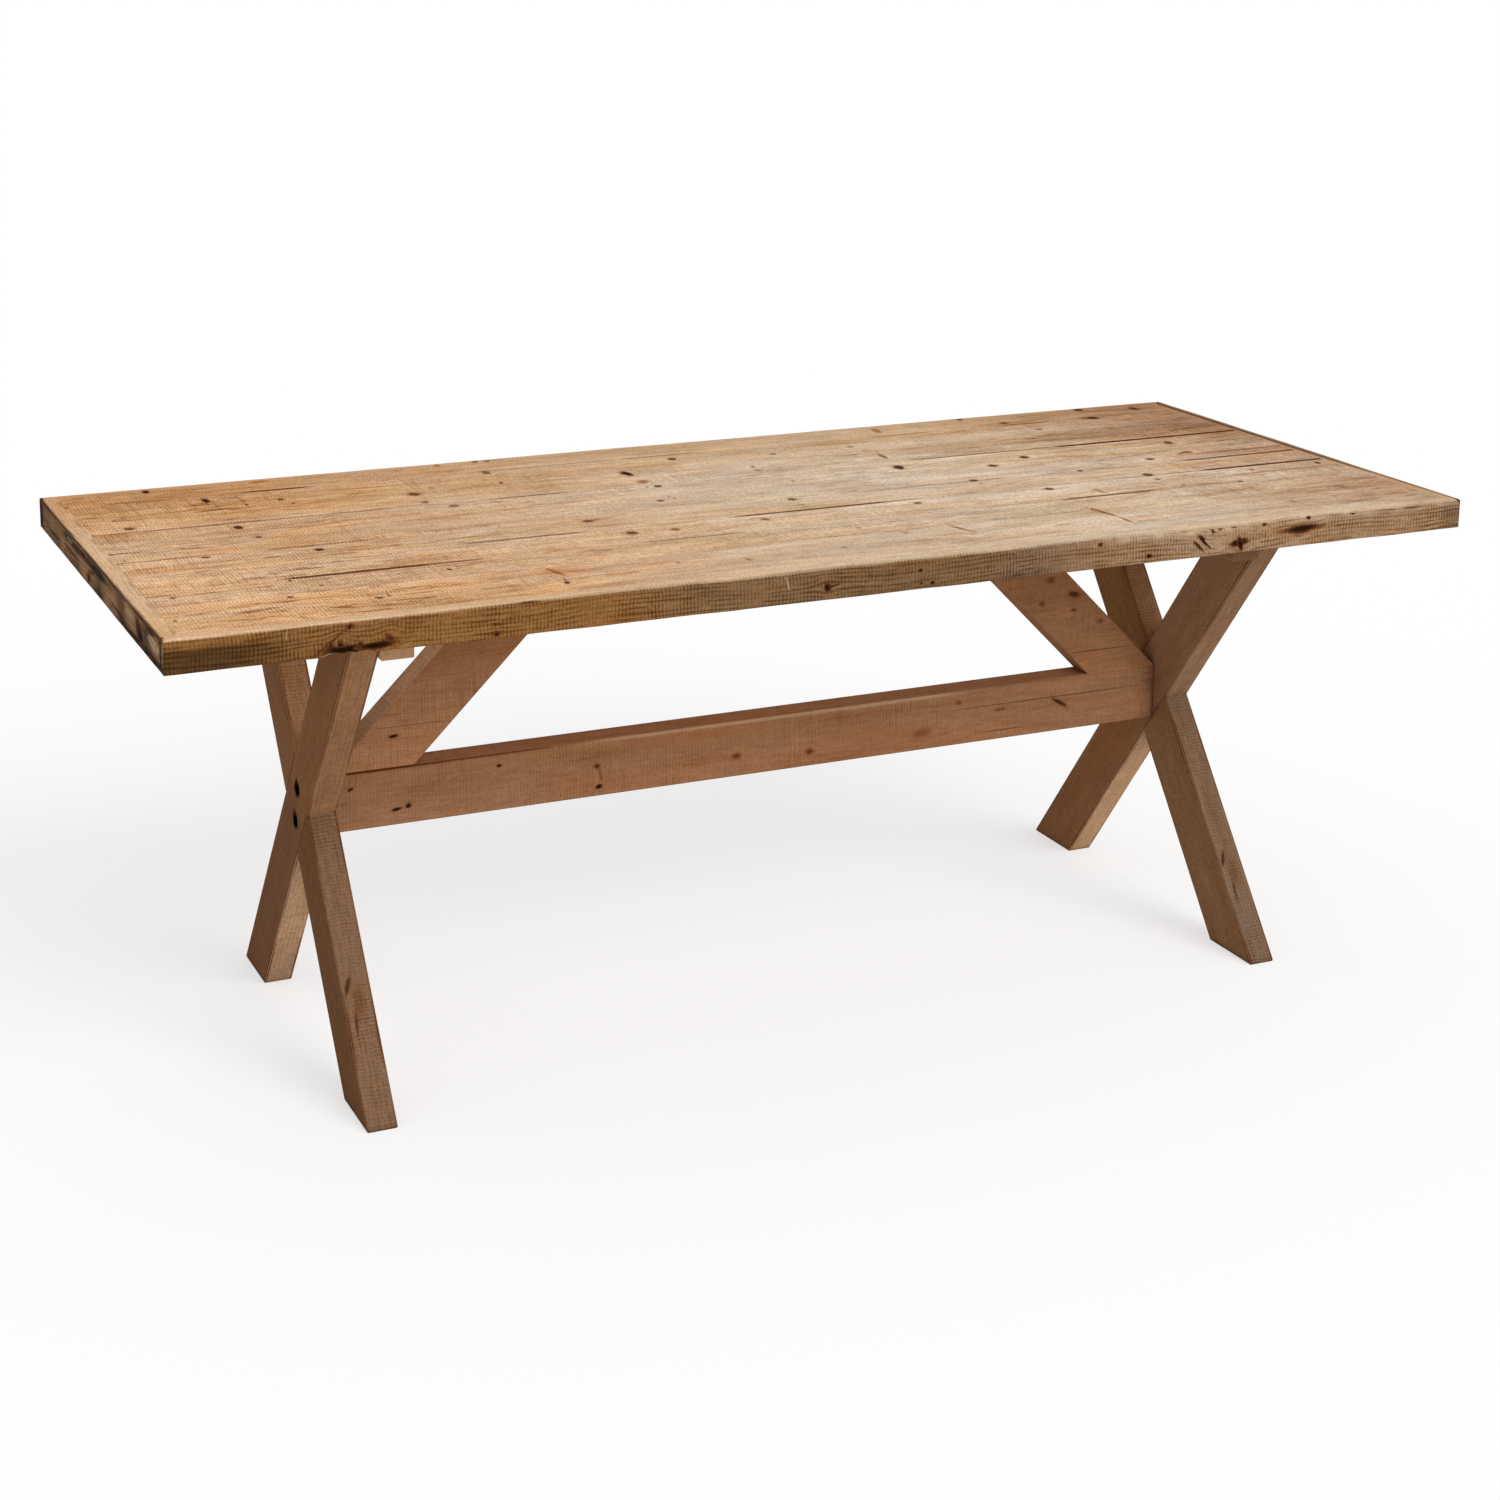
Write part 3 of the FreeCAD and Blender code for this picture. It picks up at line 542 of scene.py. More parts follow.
class Paint:
    """What a board's material reads at each point of its mesh."""

    LAYERS = ("mark_a", "mark_b", "mark_c")
    NO_MARK = (9, 9, 0)  # a mark's own coordinates and darkness away from all marks
    RIM_REACH, CORE_REACH = 2.6, 1.5  # how far a mark goes, in its own half sizes
    SPARE = 1.6  # mesh steps round a mark that stay free of others on its layer
    ROUND = 30  # millimetres; shorter dark marks are knots, and the grain bends round them
    BEND_ALONG, BEND_ACROSS = 3.2, 2.0  # how far it bends, in the knot's half sizes
    BEND = 0.75
    OFFSET = 3  # metres at most between one board's place in the grain and another's

    def __init__(self, points, along, across, seed, domain="POINT"):
        """Grain runs in the along direction; seed sets one board off from another."""
        along, across = Vector(along).normalized(), Vector(across).normalized()
        count = len(points)
        self.domain = domain
        self.grain = points @ np.array((along, across, along.cross(across))).T
        self.grain += np.random.default_rng(seed).uniform(-self.OFFSET, self.OFFSET, 3)
        self.tint = np.ones((count, 3))
        self.marks = [np.zeros((count, 3)) + self.NO_MARK for _ in self.LAYERS]
        self.taken = [np.zeros(count, bool) for _ in self.LAYERS]
        self.rims = np.zeros((count, 3))
        self.seam = np.zeros((count, 3)) + (1, 0, 0)
        self.wear = np.zeros((count, 3))

    def gain(self, share, gain):
        """Multiply the tint by a gain where share is 1."""
        self.tint *= 1 + share[:, None] * (np.array(gain) - 1)

    def mark(self, a, b, marks, step, gate):
        """Lay marks out over two coordinates of the surface, in metres.

        Marks that lie close together go on different layers, so that a face never
        spans two of them.
        """
        for x, y, length, width, turn, dark, rim in marks:
            size_a, size_b = length * MM / 2, width * MM / 2
            cos, sin = math.cos(math.radians(turn)), math.sin(math.radians(turn))
            da, db = a - x * MM, b - y * MM
            u = (da * cos + db * sin) / size_a
            v = (db * cos - da * sin) / size_b
            limit = self.RIM_REACH if rim else self.CORE_REACH
            reach_a, reach_b = limit + step / size_a, limit + step / size_b
            on = gate & (np.abs(u) < reach_a) & (np.abs(v) < reach_b)
            near = gate & (np.abs(u) < reach_a + self.SPARE * step / size_a)
            near &= np.abs(v) < reach_b + self.SPARE * step / size_b
            busy = [int((taken & near).sum()) for taken in self.taken]
            choice = busy.index(min(busy))
            layer = self.marks[choice]
            layer[near, 0], layer[near, 1], layer[near, 2] = u[near], v[near], 0
            layer[on, 2] = dark
            self.taken[choice] |= near
            self.rims[near, choice] = rim
            if length < self.ROUND and dark > 0:
                far = (da / (self.BEND_ALONG * size_a)) ** 2 + (db / (self.BEND_ACROSS * size_b)) ** 2
                self.grain[:, 1] -= self.BEND * db * np.exp(-far)

    def patches(self, a, b, patches):
        """Tone patches: centre, reach and colour gain, in millimetres."""
        for x, y, reach_a, reach_b, *gain in patches:
            far = ((a / MM - x) / reach_a) ** 2 + ((b / MM - y) / reach_b) ** 2
            self.gain(np.exp(-(far**1.5)), gain)

    def write(self, mesh):
        """Store it all on the mesh."""
        layers = {"grain": self.grain, "tint": self.tint, "rims": self.rims}
        layers |= {"seam": self.seam, "wear": self.wear}
        layers |= dict(zip(self.LAYERS, self.marks))
        for name, values in layers.items():
            attribute = mesh.attributes.new(name, "FLOAT_VECTOR", self.domain)
            attribute.data.foreach_set("vector", values.astype(np.float32).ravel())


# ---- Node trees ----


class Value:
    """A number in a node tree; arithmetic on it adds Math nodes."""

    def __init__(self, graph, socket):
        self.graph, self.socket = graph, socket

    def math(self, operation, *values):
        """Math node of one operation on these values."""
        return self.graph.add("ShaderNodeMath", dict(enumerate(values)), operation=operation)

    def __add__(self, other):
        return self.math("ADD", self, other)

    def __sub__(self, other):
        return self.math("SUBTRACT", self, other)

    def __mul__(self, other):
        return self.math("MULTIPLY", self, other)

    def __truediv__(self, other):
        return self.math("DIVIDE", self, other)

    def __radd__(self, other):
        return self.math("ADD", other, self)

    def __rsub__(self, other):
        return self.math("SUBTRACT", other, self)

    def root(self):
        """Its square root."""
        return self.math("SQRT", self)

    def step(self, low, high):
        """Soft step from 0 at low to 1 at high."""
        values = {"Value": self, "From Min": low, "From Max": high}
        return self.graph.add("ShaderNodeMapRange", values, interpolation_type="SMOOTHSTEP")

    def ripple(self, pitch, low):
        """Soft ridges up to 1, one at every pitch; a higher low makes them narrower."""
        wave = self * (2 * math.pi / pitch)
        return (wave.math("SINE", wave) * 0.5 + 0.5).step(low, 1.0)


class Graph:
    """A node tree being built."""

    def __init__(self, tree):
        self.tree = tree
        self.tree.nodes.clear()

    def node(self, kind, values=None, **settings):
        """Add a node: its settings first, then the values or links of its sockets."""
        node = self.tree.nodes.new(kind)
        for name, setting in settings.items():
            setattr(node, name, setting)
        for name, value in (values or {}).items():
            by_key = {socket.identifier: socket for socket in node.inputs}
            socket = by_key[name] if name in by_key else node.inputs[name]
            if isinstance(value, (Value, list)):
                for one in value if isinstance(value, list) else [value]:
                    self.tree.links.new(one.socket, socket)
            else:
                socket.default_value = value
        return node

    def add(self, kind, values=None, output=0, **settings):
        """Add a node and return one output as a value."""
        return Value(self, self.node(kind, values, **settings).outputs[output])

    def attribute(self, name):
        """A vector stored on the mesh."""
        return self.add("ShaderNodeAttribute", output="Vector", attribute_name=name)

    def split(self, vector):
        """The three numbers of a vector."""
        node = self.node("ShaderNodeSeparateXYZ", {0: vector})
        return [Value(self, socket) for socket in node.outputs]

    def noise(self, vector, scale, detail=2.0, shift=(0, 0, 0)):
        """Noise of 0 to 1 over a vector scaled and shifted along its three axes."""
        values = {0: vector, 1: scale, 2: shift}
        place = self.add("ShaderNodeVectorMath", values, operation="MULTIPLY_ADD")
        values = {"Vector": place, "Scale": 1.0, "Detail": detail, "Roughness": 0.6}
        return self.add("ShaderNodeTexNoise", values)

    def mix(self, share, first, second, blend_type="MIX"):
        """Mix two colours."""
        values = {"Factor_Float": share, "A_Color": first, "B_Color": second}
        settings = {"data_type": "RGBA", "blend_type": blend_type, "clamp_factor": True}
        return self.add("ShaderNodeMix", values, 2, **settings)

    def times(self, colour, gains):
        """A colour times three gains."""
        return self.mix(1.0, colour, opaque(gains), "MULTIPLY")

    def scale(self, colour, amount):
        """A colour times a number."""
        values = {0: colour, "Scale": amount}
        return self.add("ShaderNodeVectorMath", values, operation="SCALE")

    def surface(self, colour, roughness, height, strength, distance, more=None):
        """Shader with a bump of this strength and distance, wired to the output."""
        values = {"Strength": strength, "Distance": distance, "Height": height}
        normal = self.add("ShaderNodeBump", values)
        values = {"Base Color": colour, "Roughness": roughness, "Normal": normal}
        shader = self.add("ShaderNodeBsdfPrincipled", values | (more or {}))
        self.node("ShaderNodeOutputMaterial", {"Surface": shader})


def opaque(colour):
    """Linear colour with full alpha."""
    return (*[float(c) for c in colour], 1.0)


def display(red, green, blue):
    """Colour for a socket from display values of 0 to 255."""
    return opaque(linear(red, green, blue))


def new_material(name):
    """An empty material and its node tree."""
    material = bpy.data.materials.new(name)
    material.use_nodes = True
    return material, Graph(material.node_tree)


# ---- Materials ----


class Wood:
    """Worn, rough-sawn softwood that reads the paint on its mesh, laid on in steps."""

    # Gains
    SOFT, WARM, RINGED = (1.14, 1.18, 1.22), (0.98, 0.90, 0.76), (0.78, 0.52, 0.33)
    ROSY, CREAMY, BURNT = (1.05, 0.91, 0.76), (1.03, 1.09, 1.2), (0.46, 0.31, 0.19)
    LIGHTER, COMBED = (1.26, 1.30, 1.36), (0.44, 0.35, 0.24)
    # Display values
    SOOT, RUBBED = (42, 27, 14), (216, 192, 160)
    SEAM_PALE, SEAM_DARK = (228, 202, 168), (86, 38, 4)
    HEART, HEART_EDGE, CHIP = (30, 15, 6), (98, 56, 27), (232, 210, 178)

    def __init__(self, name, late):
        """Late is the gain of late wood and of dark saw cuts on the early wood."""
        self.material, self.graph = new_material(name)
        self.late = late
        self.grain = self.graph.attribute("grain")
        self.sawn, self.dirty, self.pale = self.graph.split(self.graph.attribute("wear"))

    def noise(self, along, across, detail=2.0, shift=(0, 0, 0)):
        """Noise of 0 to 1 with its own scales along and across the grain."""
        return self.graph.noise(self.grain, (along, across, across), detail, shift)

    def waver(self, along, across, reach, shift, detail=2.0):
        """Noise round 0 that goes half its reach each way."""
        return (self.noise(along, across, detail, shift) - 0.5) * reach

    def wash(self, share, gains):
        """Take the colour towards its product with three gains."""
        self.colour = self.graph.mix(share, self.colour, self.graph.times(self.colour, gains))

    def cover(self, share, colour):
        """Take the colour towards a plain one, given in display values."""
        self.colour = self.graph.mix(share, self.colour, display(*colour))

    def lay_grain(self, lines, streaks, flecks, blotch, finer):
        """Broad bands, streaks, fine lines and fibres, from coarse to fine."""
        graph, tint = self.graph, self.graph.attribute("tint")
        broad = self.noise(1.3, 24)
        streak = self.noise(7, 58, 3.0, (3, 1, 7))
        line = self.noise(13, 150 + 140 * finer, 2.0, (1, 2, 1))
        fibre = self.noise(50, 640, 1.0)
        self.fleck = self.noise(230, 270, 2.0, (2, 5, 9))
        self.cloud = self.noise(7, 19, 3.0, (7, 1, 3))
        hue = self.noise(1.7, 13, 2.0, (5, 5, 2))
        self.ring = streak.step(0.50, 0.72) * streaks + line.step(0.48, 0.70) * lines
        self.ring = self.ring * (self.sawn * 0.6 + 0.4)
        self.colour = tint
        self.wash(self.ring, self.late)
        soft = graph.times(tint, self.SOFT)
        self.colour = graph.mix(streak.step(0.47, 0.30) * streaks, self.colour, soft)
        self.wash(hue.step(0.42, 0.68) * 0.9, self.WARM)
        depths = {broad: 0.5 * streaks, self.cloud: blotch, fibre: 0.4, self.fleck: 1.1 * flecks}
        for layer, depth in depths.items():
            self.colour = graph.scale(self.colour, 1 + (layer - 0.5) * depth)
        self.height = line * 0.4 + fibre * 0.2 + self.fleck * 0.4

    def lay_dashes(self, depth):
        """A rosy and a creamy cast by turns, and short dark dashes in patches."""
        dash = self.noise(17, 135, 2.0, (9, 2, 4)).step(0.56, 0.66)
        patch = self.noise(3, 13, 2.0, (6, 3, 9)).step(0.40, 0.64)
        dash = dash * (patch * 0.85 + 0.15) * self.sawn
        tinge = self.noise(9, 62, 3.0, (2, 9, 4))
        self.wash(tinge.step(0.50, 0.70) * self.sawn * depth, self.ROSY)
        self.wash(tinge.step(0.48, 0.30) * depth, self.CREAMY)
        self.wash(dash * depth, self.BURNT)
        self.height = self.height - dash * 0.5

    def cut(self, strokes):
        """Scattered marks of the saw across the grain, dark and pale."""
        cut = self.noise(200, 10, 2.0, (4, 4, 4))
        where = self.noise(7, 11, 2.0, (1, 8, 2)).step(0.34, 0.62) * self.sawn
        dark, pale = (cut.step(*ends) * where * strokes for ends in ((0.45, 0.33), (0.57, 0.70)))
        self.wash(dark * 0.6, self.late)
        self.wash(pale * 0.7, self.LIGHTER)
        self.height = self.height + (pale - dark) * 0.8

    def weave(self, comb, bars):
        """The saw's even comb across the grain, and weathered ribs along it."""
        along, across, deep = self.graph.split(self.grain)
        teeth = (along + self.waver(11, 40, 0.007, (6, 6, 1))).ripple(SAW_PITCH, 0.25)
        teeth = teeth * self.noise(40, 90, 2.0, (3, 2, 8)).step(0.25, 0.66) * self.sawn
        weave = teeth * comb
        if bars:
            ribs = across + deep + self.waver(5, 60, 0.009, (4, 1, 3))
            ribs = ribs.ripple(RIB_PITCH, 0.3) * self.noise(24, 80, 2.0, (4, 9, 8)).step(0.3, 0.62)
            weave = weave + ribs * self.sawn * bars
        self.wash(weave * (1 + self.dirty * 0.8), self.COMBED)
        self.height = self.height - weave * 0.7

    def age(self):
        """Dark dirt gathers in the grain; pale wood shows where it is rubbed."""
        muck = self.dirty * (0.15 + self.cloud * 1.1 + self.fleck * 0.5 + self.ring * 0.2)
        self.cover(muck.step(0.1, 1.0), self.SOOT)
        self.cover(self.pale * (0.2 + self.cloud * 0.9 + self.fleck * 0.5), self.RUBBED)

    def draw_seams(self, reach):
        """Lines between boards, with a pale margin; reach widens the dark ones."""
        gap, dark, pale = self.graph.split(self.graph.attribute("seam"))
        ragged = gap + self.waver(60, 60, 0.002, (8, 3, 3))
        self.cover((1 - ragged.step(0.003, 0.008)) * pale * 0.5, self.SEAM_PALE)
        self.cover((1 - (ragged - dark * reach).step(0.0002, 0.0034)) * dark, self.SEAM_DARK)

    def draw_marks(self):
        """Knots, streaks and chips; a darkness below 0 makes a mark pale."""
        graph = self.graph
        ragged = self.waver(170, 170, 0.8, (5, 5, 5)) + self.waver(500, 500, 0.5, (5, 1, 5), 1.0)
        rims = graph.split(graph.attribute("rims"))
        for layer, rim in zip(Paint.LAYERS, rims):
            u, v, dark = graph.split(graph.attribute(layer))
            radius = (u * u + v * v).root() + ragged
            self.wash((1 - radius.step(0.8, 2.4)) * rim * 0.85, self.RINGED)
            heart = graph.mix(radius.step(0.4, 1.2), display(*self.HEART), display(*self.HEART_EDGE))
            stain = (1 - radius.step(0.88, 1.32)) * dark
            self.colour = graph.mix(stain, self.colour, heart)
            self.cover(stain * -1.0, self.CHIP)
            self.height = self.height - stain * 0.7

    def finish(self):
        """Wire the colour and the height to the material's output."""
        roughness = 0.8 + (self.cloud - 0.5) * 0.14 - self.pale * 0.1
        dull = {"Specular IOR Level": 0.03}
        self.graph.surface(self.colour, roughness, self.height, 0.5, 0.0012, dull)
        return self.material


def sawn_wood(name, lines=0.5, streaks=0.5, flecks=0.5, strokes=0.5, comb=0.0, bars=0.0,
              blotch=0.3, dashes=0.0, finer=1.0, late=(0.70, 0.56, 0.43), reach=0.0022):
    """One kind of wood: how strongly each feature of it shows."""
    wood = Wood(name, late)
    wood.lay_grain(lines, streaks, flecks, blotch, finer)
    if dashes:
        wood.lay_dashes(dashes)
    wood.cut(strokes)
    if comb:
        wood.weave(comb, bars)
    wood.age()
    wood.draw_seams(reach)
    wood.draw_marks()
    return wood.finish()


def steel(name, colour, rough, metallic, scuffs):
    """Small fixings: coated or plated steel, a little rubbed and uneven."""
    material, graph = new_material(name)
    place = graph.add("ShaderNodeTexCoord", output="Object")
    mottle = graph.noise(place, (260, 260, 260), 3.0)
    scuff = graph.noise(place, (900, 900, 900), 2.0, (3, 1, 2)).step(0.56, 0.7)
    tone = graph.mix(mottle, opaque(colour * 0.75), opaque(colour * 1.25))
    tone = graph.mix(scuff * scuffs, tone, display(150, 146, 140))
    roughness = rough + (mottle - 0.5) * 0.3
    graph.surface(tone, roughness, mottle, 0.15, 0.0003, {"Metallic": metallic})
    return material


def dowel_beech(name):
    """Turned hardwood dowel: pale, with short fine pores."""
    material, graph = new_material(name)
    place = graph.add("ShaderNodeTexCoord", output="Object")
    pores = graph.noise(place, (400, 400, 400), 3.0)
    cloud = graph.noise(place, (40, 40, 40), 2.0, (1, 2, 3))
    tone = graph.mix(pores.step(0.5, 0.7), display(206, 172, 128), display(168, 128, 86))
    tone = graph.scale(tone, 0.85 + cloud * 0.3)
    graph.surface(tone, 0.65 + (pores - 0.5) * 0.2, pores, 0.2, 0.0004)
    return material


# ---- Settings ----


def colour_setting(name, description, red, green, blue):
    """Colour property whose default is given in display values."""
    default = tuple(float(c) for c in linear(red, green, blue))
    return FloatVectorProperty(
        name=name, description=description, subtype="COLOR", size=3, min=0.0, max=1.0,
        default=default,
    )


def length_setting(name, description, default):
    """Length property in metres."""
    return FloatProperty(
        name=name, description=description, default=default, min=0.0, unit="LENGTH"
    )


class TopSettings(PropertyGroup):
    """Sizes and colours of the planks and the frame round them."""

    mesh_step: length_setting("Mesh step", "Size of a plank's faces", 0.005)
    gap: length_setting("Open gap", "Widest gap between two planks", 0.003)
    honey: colour_setting("Honey wood", "Planks at the left end", 216, 178, 140)
    chalk: colour_setting("Chalky wood", "Bleached middle of the planks", 214, 191, 167)
    dusk: colour_setting("Dusky wood", "Planks at the right end", 194, 162, 134)
    front_left: colour_setting("Front board, left", "At the left end", 138, 98, 56)
    front_right: colour_setting("Front board, right", "At the right end", 162, 133, 106)
    left_wood: colour_setting("Left end board", "Weathered end board", 158, 123, 90)
    right_wood: colour_setting("Right end board", "Its twin at the right", 150, 114, 80)
    back_wood: colour_setting("Back board", "Long board at the back", 158, 122, 84)


class TrestleSettings(PropertyGroup):
    """Sizes and colours of the trestles, stretcher, braces and underside."""

    mesh_step: length_setting("Mesh step", "Size of the faces of a leg or rail", 0.008)
    ease: length_setting("Eased edge", "How far the arrises are rubbed down", 0.0016)
    leg_wood: colour_setting("Leg wood", "Legs", 150, 110, 78)
    rail_wood: colour_setting("Stretcher wood", "Stretcher", 150, 108, 78)
    brace_wood: colour_setting("Brace wood", "Braces", 167, 115, 78)
    batten_wood: colour_setting("Batten wood", "Battens under the planks", 178, 142, 108)
    cleat_wood: colour_setting("Cleat wood", "Cleats on legs and braces", 196, 156, 118)


class FixingSettings(PropertyGroup):
    """Sizes of the screws and bolts."""

    screw_head: length_setting("Screw head", "Batten screws across the head", 0.009)
    screw_shank: length_setting("Screw shank", "Batten screws' diameter", 0.0045)
    screw_length: length_setting("Screw length", "Batten screws' length", 0.038)
    cleat_head: length_setting("Cleat screw head", "Across the head", 0.01)
    cleat_shank: length_setting("Cleat screw shank", "Cleat screws' diameter", 0.005)
    cleat_length: length_setting("Cleat screw length", "Cleat screws' length", 0.088)
    hex_flats: length_setting("Hexagon head", "Across the flats", 0.013)
    hex_height: length_setting("Hexagon head height", "Height of the head", 0.0055)
    hex_shank: length_setting("Hexagon shank", "Lag screws' and bolts' diameter", 0.008)
    lag_length: length_setting("Lag screw length", "Below the washer", 0.08)
    bolt_length: length_setting("Bolt length", "Below the washer", 0.078)
    washer: length_setting("Washer", "Its thickness", 0.002)


class StageSettings(PropertyGroup):
    """Floor, lamps and camera."""

    floor_size: length_setting("Floor size", "Side of the square floor", 80.0)
    sky: FloatProperty(name="Sky", description="Strength of the even light", default=0.66)
    key: FloatProperty(name="Key", description="Strength of the soft sun", default=1.9)


# ---- Making pieces ----


def put_in_scene(name, data):
    """A new object in the scene that shows this data."""
    made = bpy.data.objects.new(name, data)
    bpy.context.scene.collection.objects.link(made)
    return made


def place_piece(name, mesh, material, slot_name, *nodes):
    """Put a mesh in the scene as a piece that rides on the table."""
    mesh.materials.clear()
    mesh.materials.append(material)
    piece = put_in_scene(name, mesh)
    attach(piece, "root")
    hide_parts(*nodes)


def finish_piece(name, mesh, paint, crease, material, slot_name, *nodes):
    """Smooth and paint a mesh and place it; crease is the angle that stays sharp."""
    mesh.shade_smooth()
    mesh.set_sharp_from_angle(angle=math.radians(crease))
    paint.write(mesh)
    place_piece(name, mesh, material, slot_name, *nodes)


def mesh_from(name, points, faces):
    """Mesh with these points and faces."""
    mesh = bpy.data.meshes.new(name)
    mesh.from_pydata(points.tolist(), [], faces)
    mesh.update()
    return mesh


def marks_near(low, high):
    """Marks of the top that reach a board between two corners."""
    spans = [(a - MARK_MARGIN, b + MARK_MARGIN) for a, b in zip(low[:2], high[:2])]
    return [
        mark for mark in TOP_KNOTS + TOP_STREAKS
        if all(start < place * MM < end for (start, end), place in zip(spans, mark))
    ]


def seam_strength(x, y):
    """Darkness and paleness along the line between two planks."""
    dark, pale = np.zeros_like(x), np.zeros_like(x)
    for place, start, end, darkness, paleness in SEAM_STRETCHES:
        if abs(place * MM - y) < SEAM_MATCH:
            here = within(x / MM, start, end, SEAM_FADE)
            dark, pale = np.maximum(dark, here * darkness), np.maximum(pale, here * paleness)
    return dark, pale


def top_tint(top, x, y):
    """Colour of the top's wood over its length and width."""
    lean = x + 0.35 * y
    tint = blend(top.honey, top.chalk, smooth(lean, -0.75, 0.15))
    tint = blend(tint, top.dusk, smooth(lean, 0.66, 1.05))
    return tint * blend((1, 1, 1), BACK_GAIN, smooth(y, 0.10, 0.42))


def plank_edge(top, along, y, wander, at_frame):
    """Gap and easing along one edge of a plank, wider where its seam is dark."""
    if at_frame:
        return 0 * along, SHARP_EASE + 0 * along
    dark, _ = seam_strength(along, y)
    gap = TIGHT_GAP + top.gap / 2 * smooth(dark, 0.35, 1.0)
    return gap, EDGE_EASE + WORN_EASE * dark + wander


def plank_piece(top, index, material):
    """One plank: open seams, eased edges and a slightly uneven face."""
    node = PLANKS[index]
    low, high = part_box(node)
    (x0, y0, z0), (x1, y1, z1) = low, high
    step = top.mesh_step
    along = np.linspace(x0, x1, int((x1 - x0) / step) + 1)
    wander = 0.00025 * (1 + drift(along, index, 0.31))
    front_gap, front_ease = plank_edge(top, along, y0, wander, index == 0)
    back_gap, back_ease = plank_edge(top, along, y1, wander, index == len(PLANKS) - 1)
    level = 0.0002 + 0.000175 * (1 + drift(along, 40 + index, 0.9))
    radii = (UNDER_EASE, UNDER_EASE, back_ease, front_ease)
    counts = (6, 3, max(6, int((y1 - y0) / step)), 3)
    across, up = section(y0 + front_gap, y1 - back_gap, z0, z1 - level, radii, counts)
    rings = np.stack([np.repeat(along[:, None], across.shape[1], 1), across, up], -1)
    points, faces = loft(rings)
    x, y, z = points.T
    on_top = z > z1 - TOP_SKIN
    paint = Paint(points, X_AXIS, Y_AXIS, PLANK_SEED + index)
    paint.grain[:, 1] += 0.006 * drift(x, 60 + index, 0.8) + 0.0015 * drift(x, index, 0.17)
    paint.tint = top_tint(top, x, y) * PLANK_GAIN[index]
    paint.patches(x, y, TOP_PATCHES)
    paint.gain(~on_top, 0.82)
    paint.mark(x, y, marks_near(low, high), step, on_top)
    front_line, back_line = (np.array(seam_strength(x, edge)).T for edge in (y0, y1))
    to_front, to_back = np.abs(y - y0), np.abs(y1 - y)
    paint.seam[:, 0] = np.minimum(to_front, to_back)
    paint.seam[:, 1:] = np.where((to_front < to_back)[:, None], front_line, back_line)
    paint.wear[:, 0] = 0.85 + 0.2 * drift(x, 80 + index, 0.4) - 0.3 * within(x, -0.2, 0.4, 0.3)
    paint.wear[:, 0] += 0.25 * (1 - smooth(x, -0.6, -0.3)) + 0.15 * smooth(x, 0.5, 0.8)
    name = f"plank_{index + 1}"
    mesh = mesh_from(name, points, faces)
    finish_piece(name, mesh, paint, TOP_CREASE, material, "plank_wood", node)


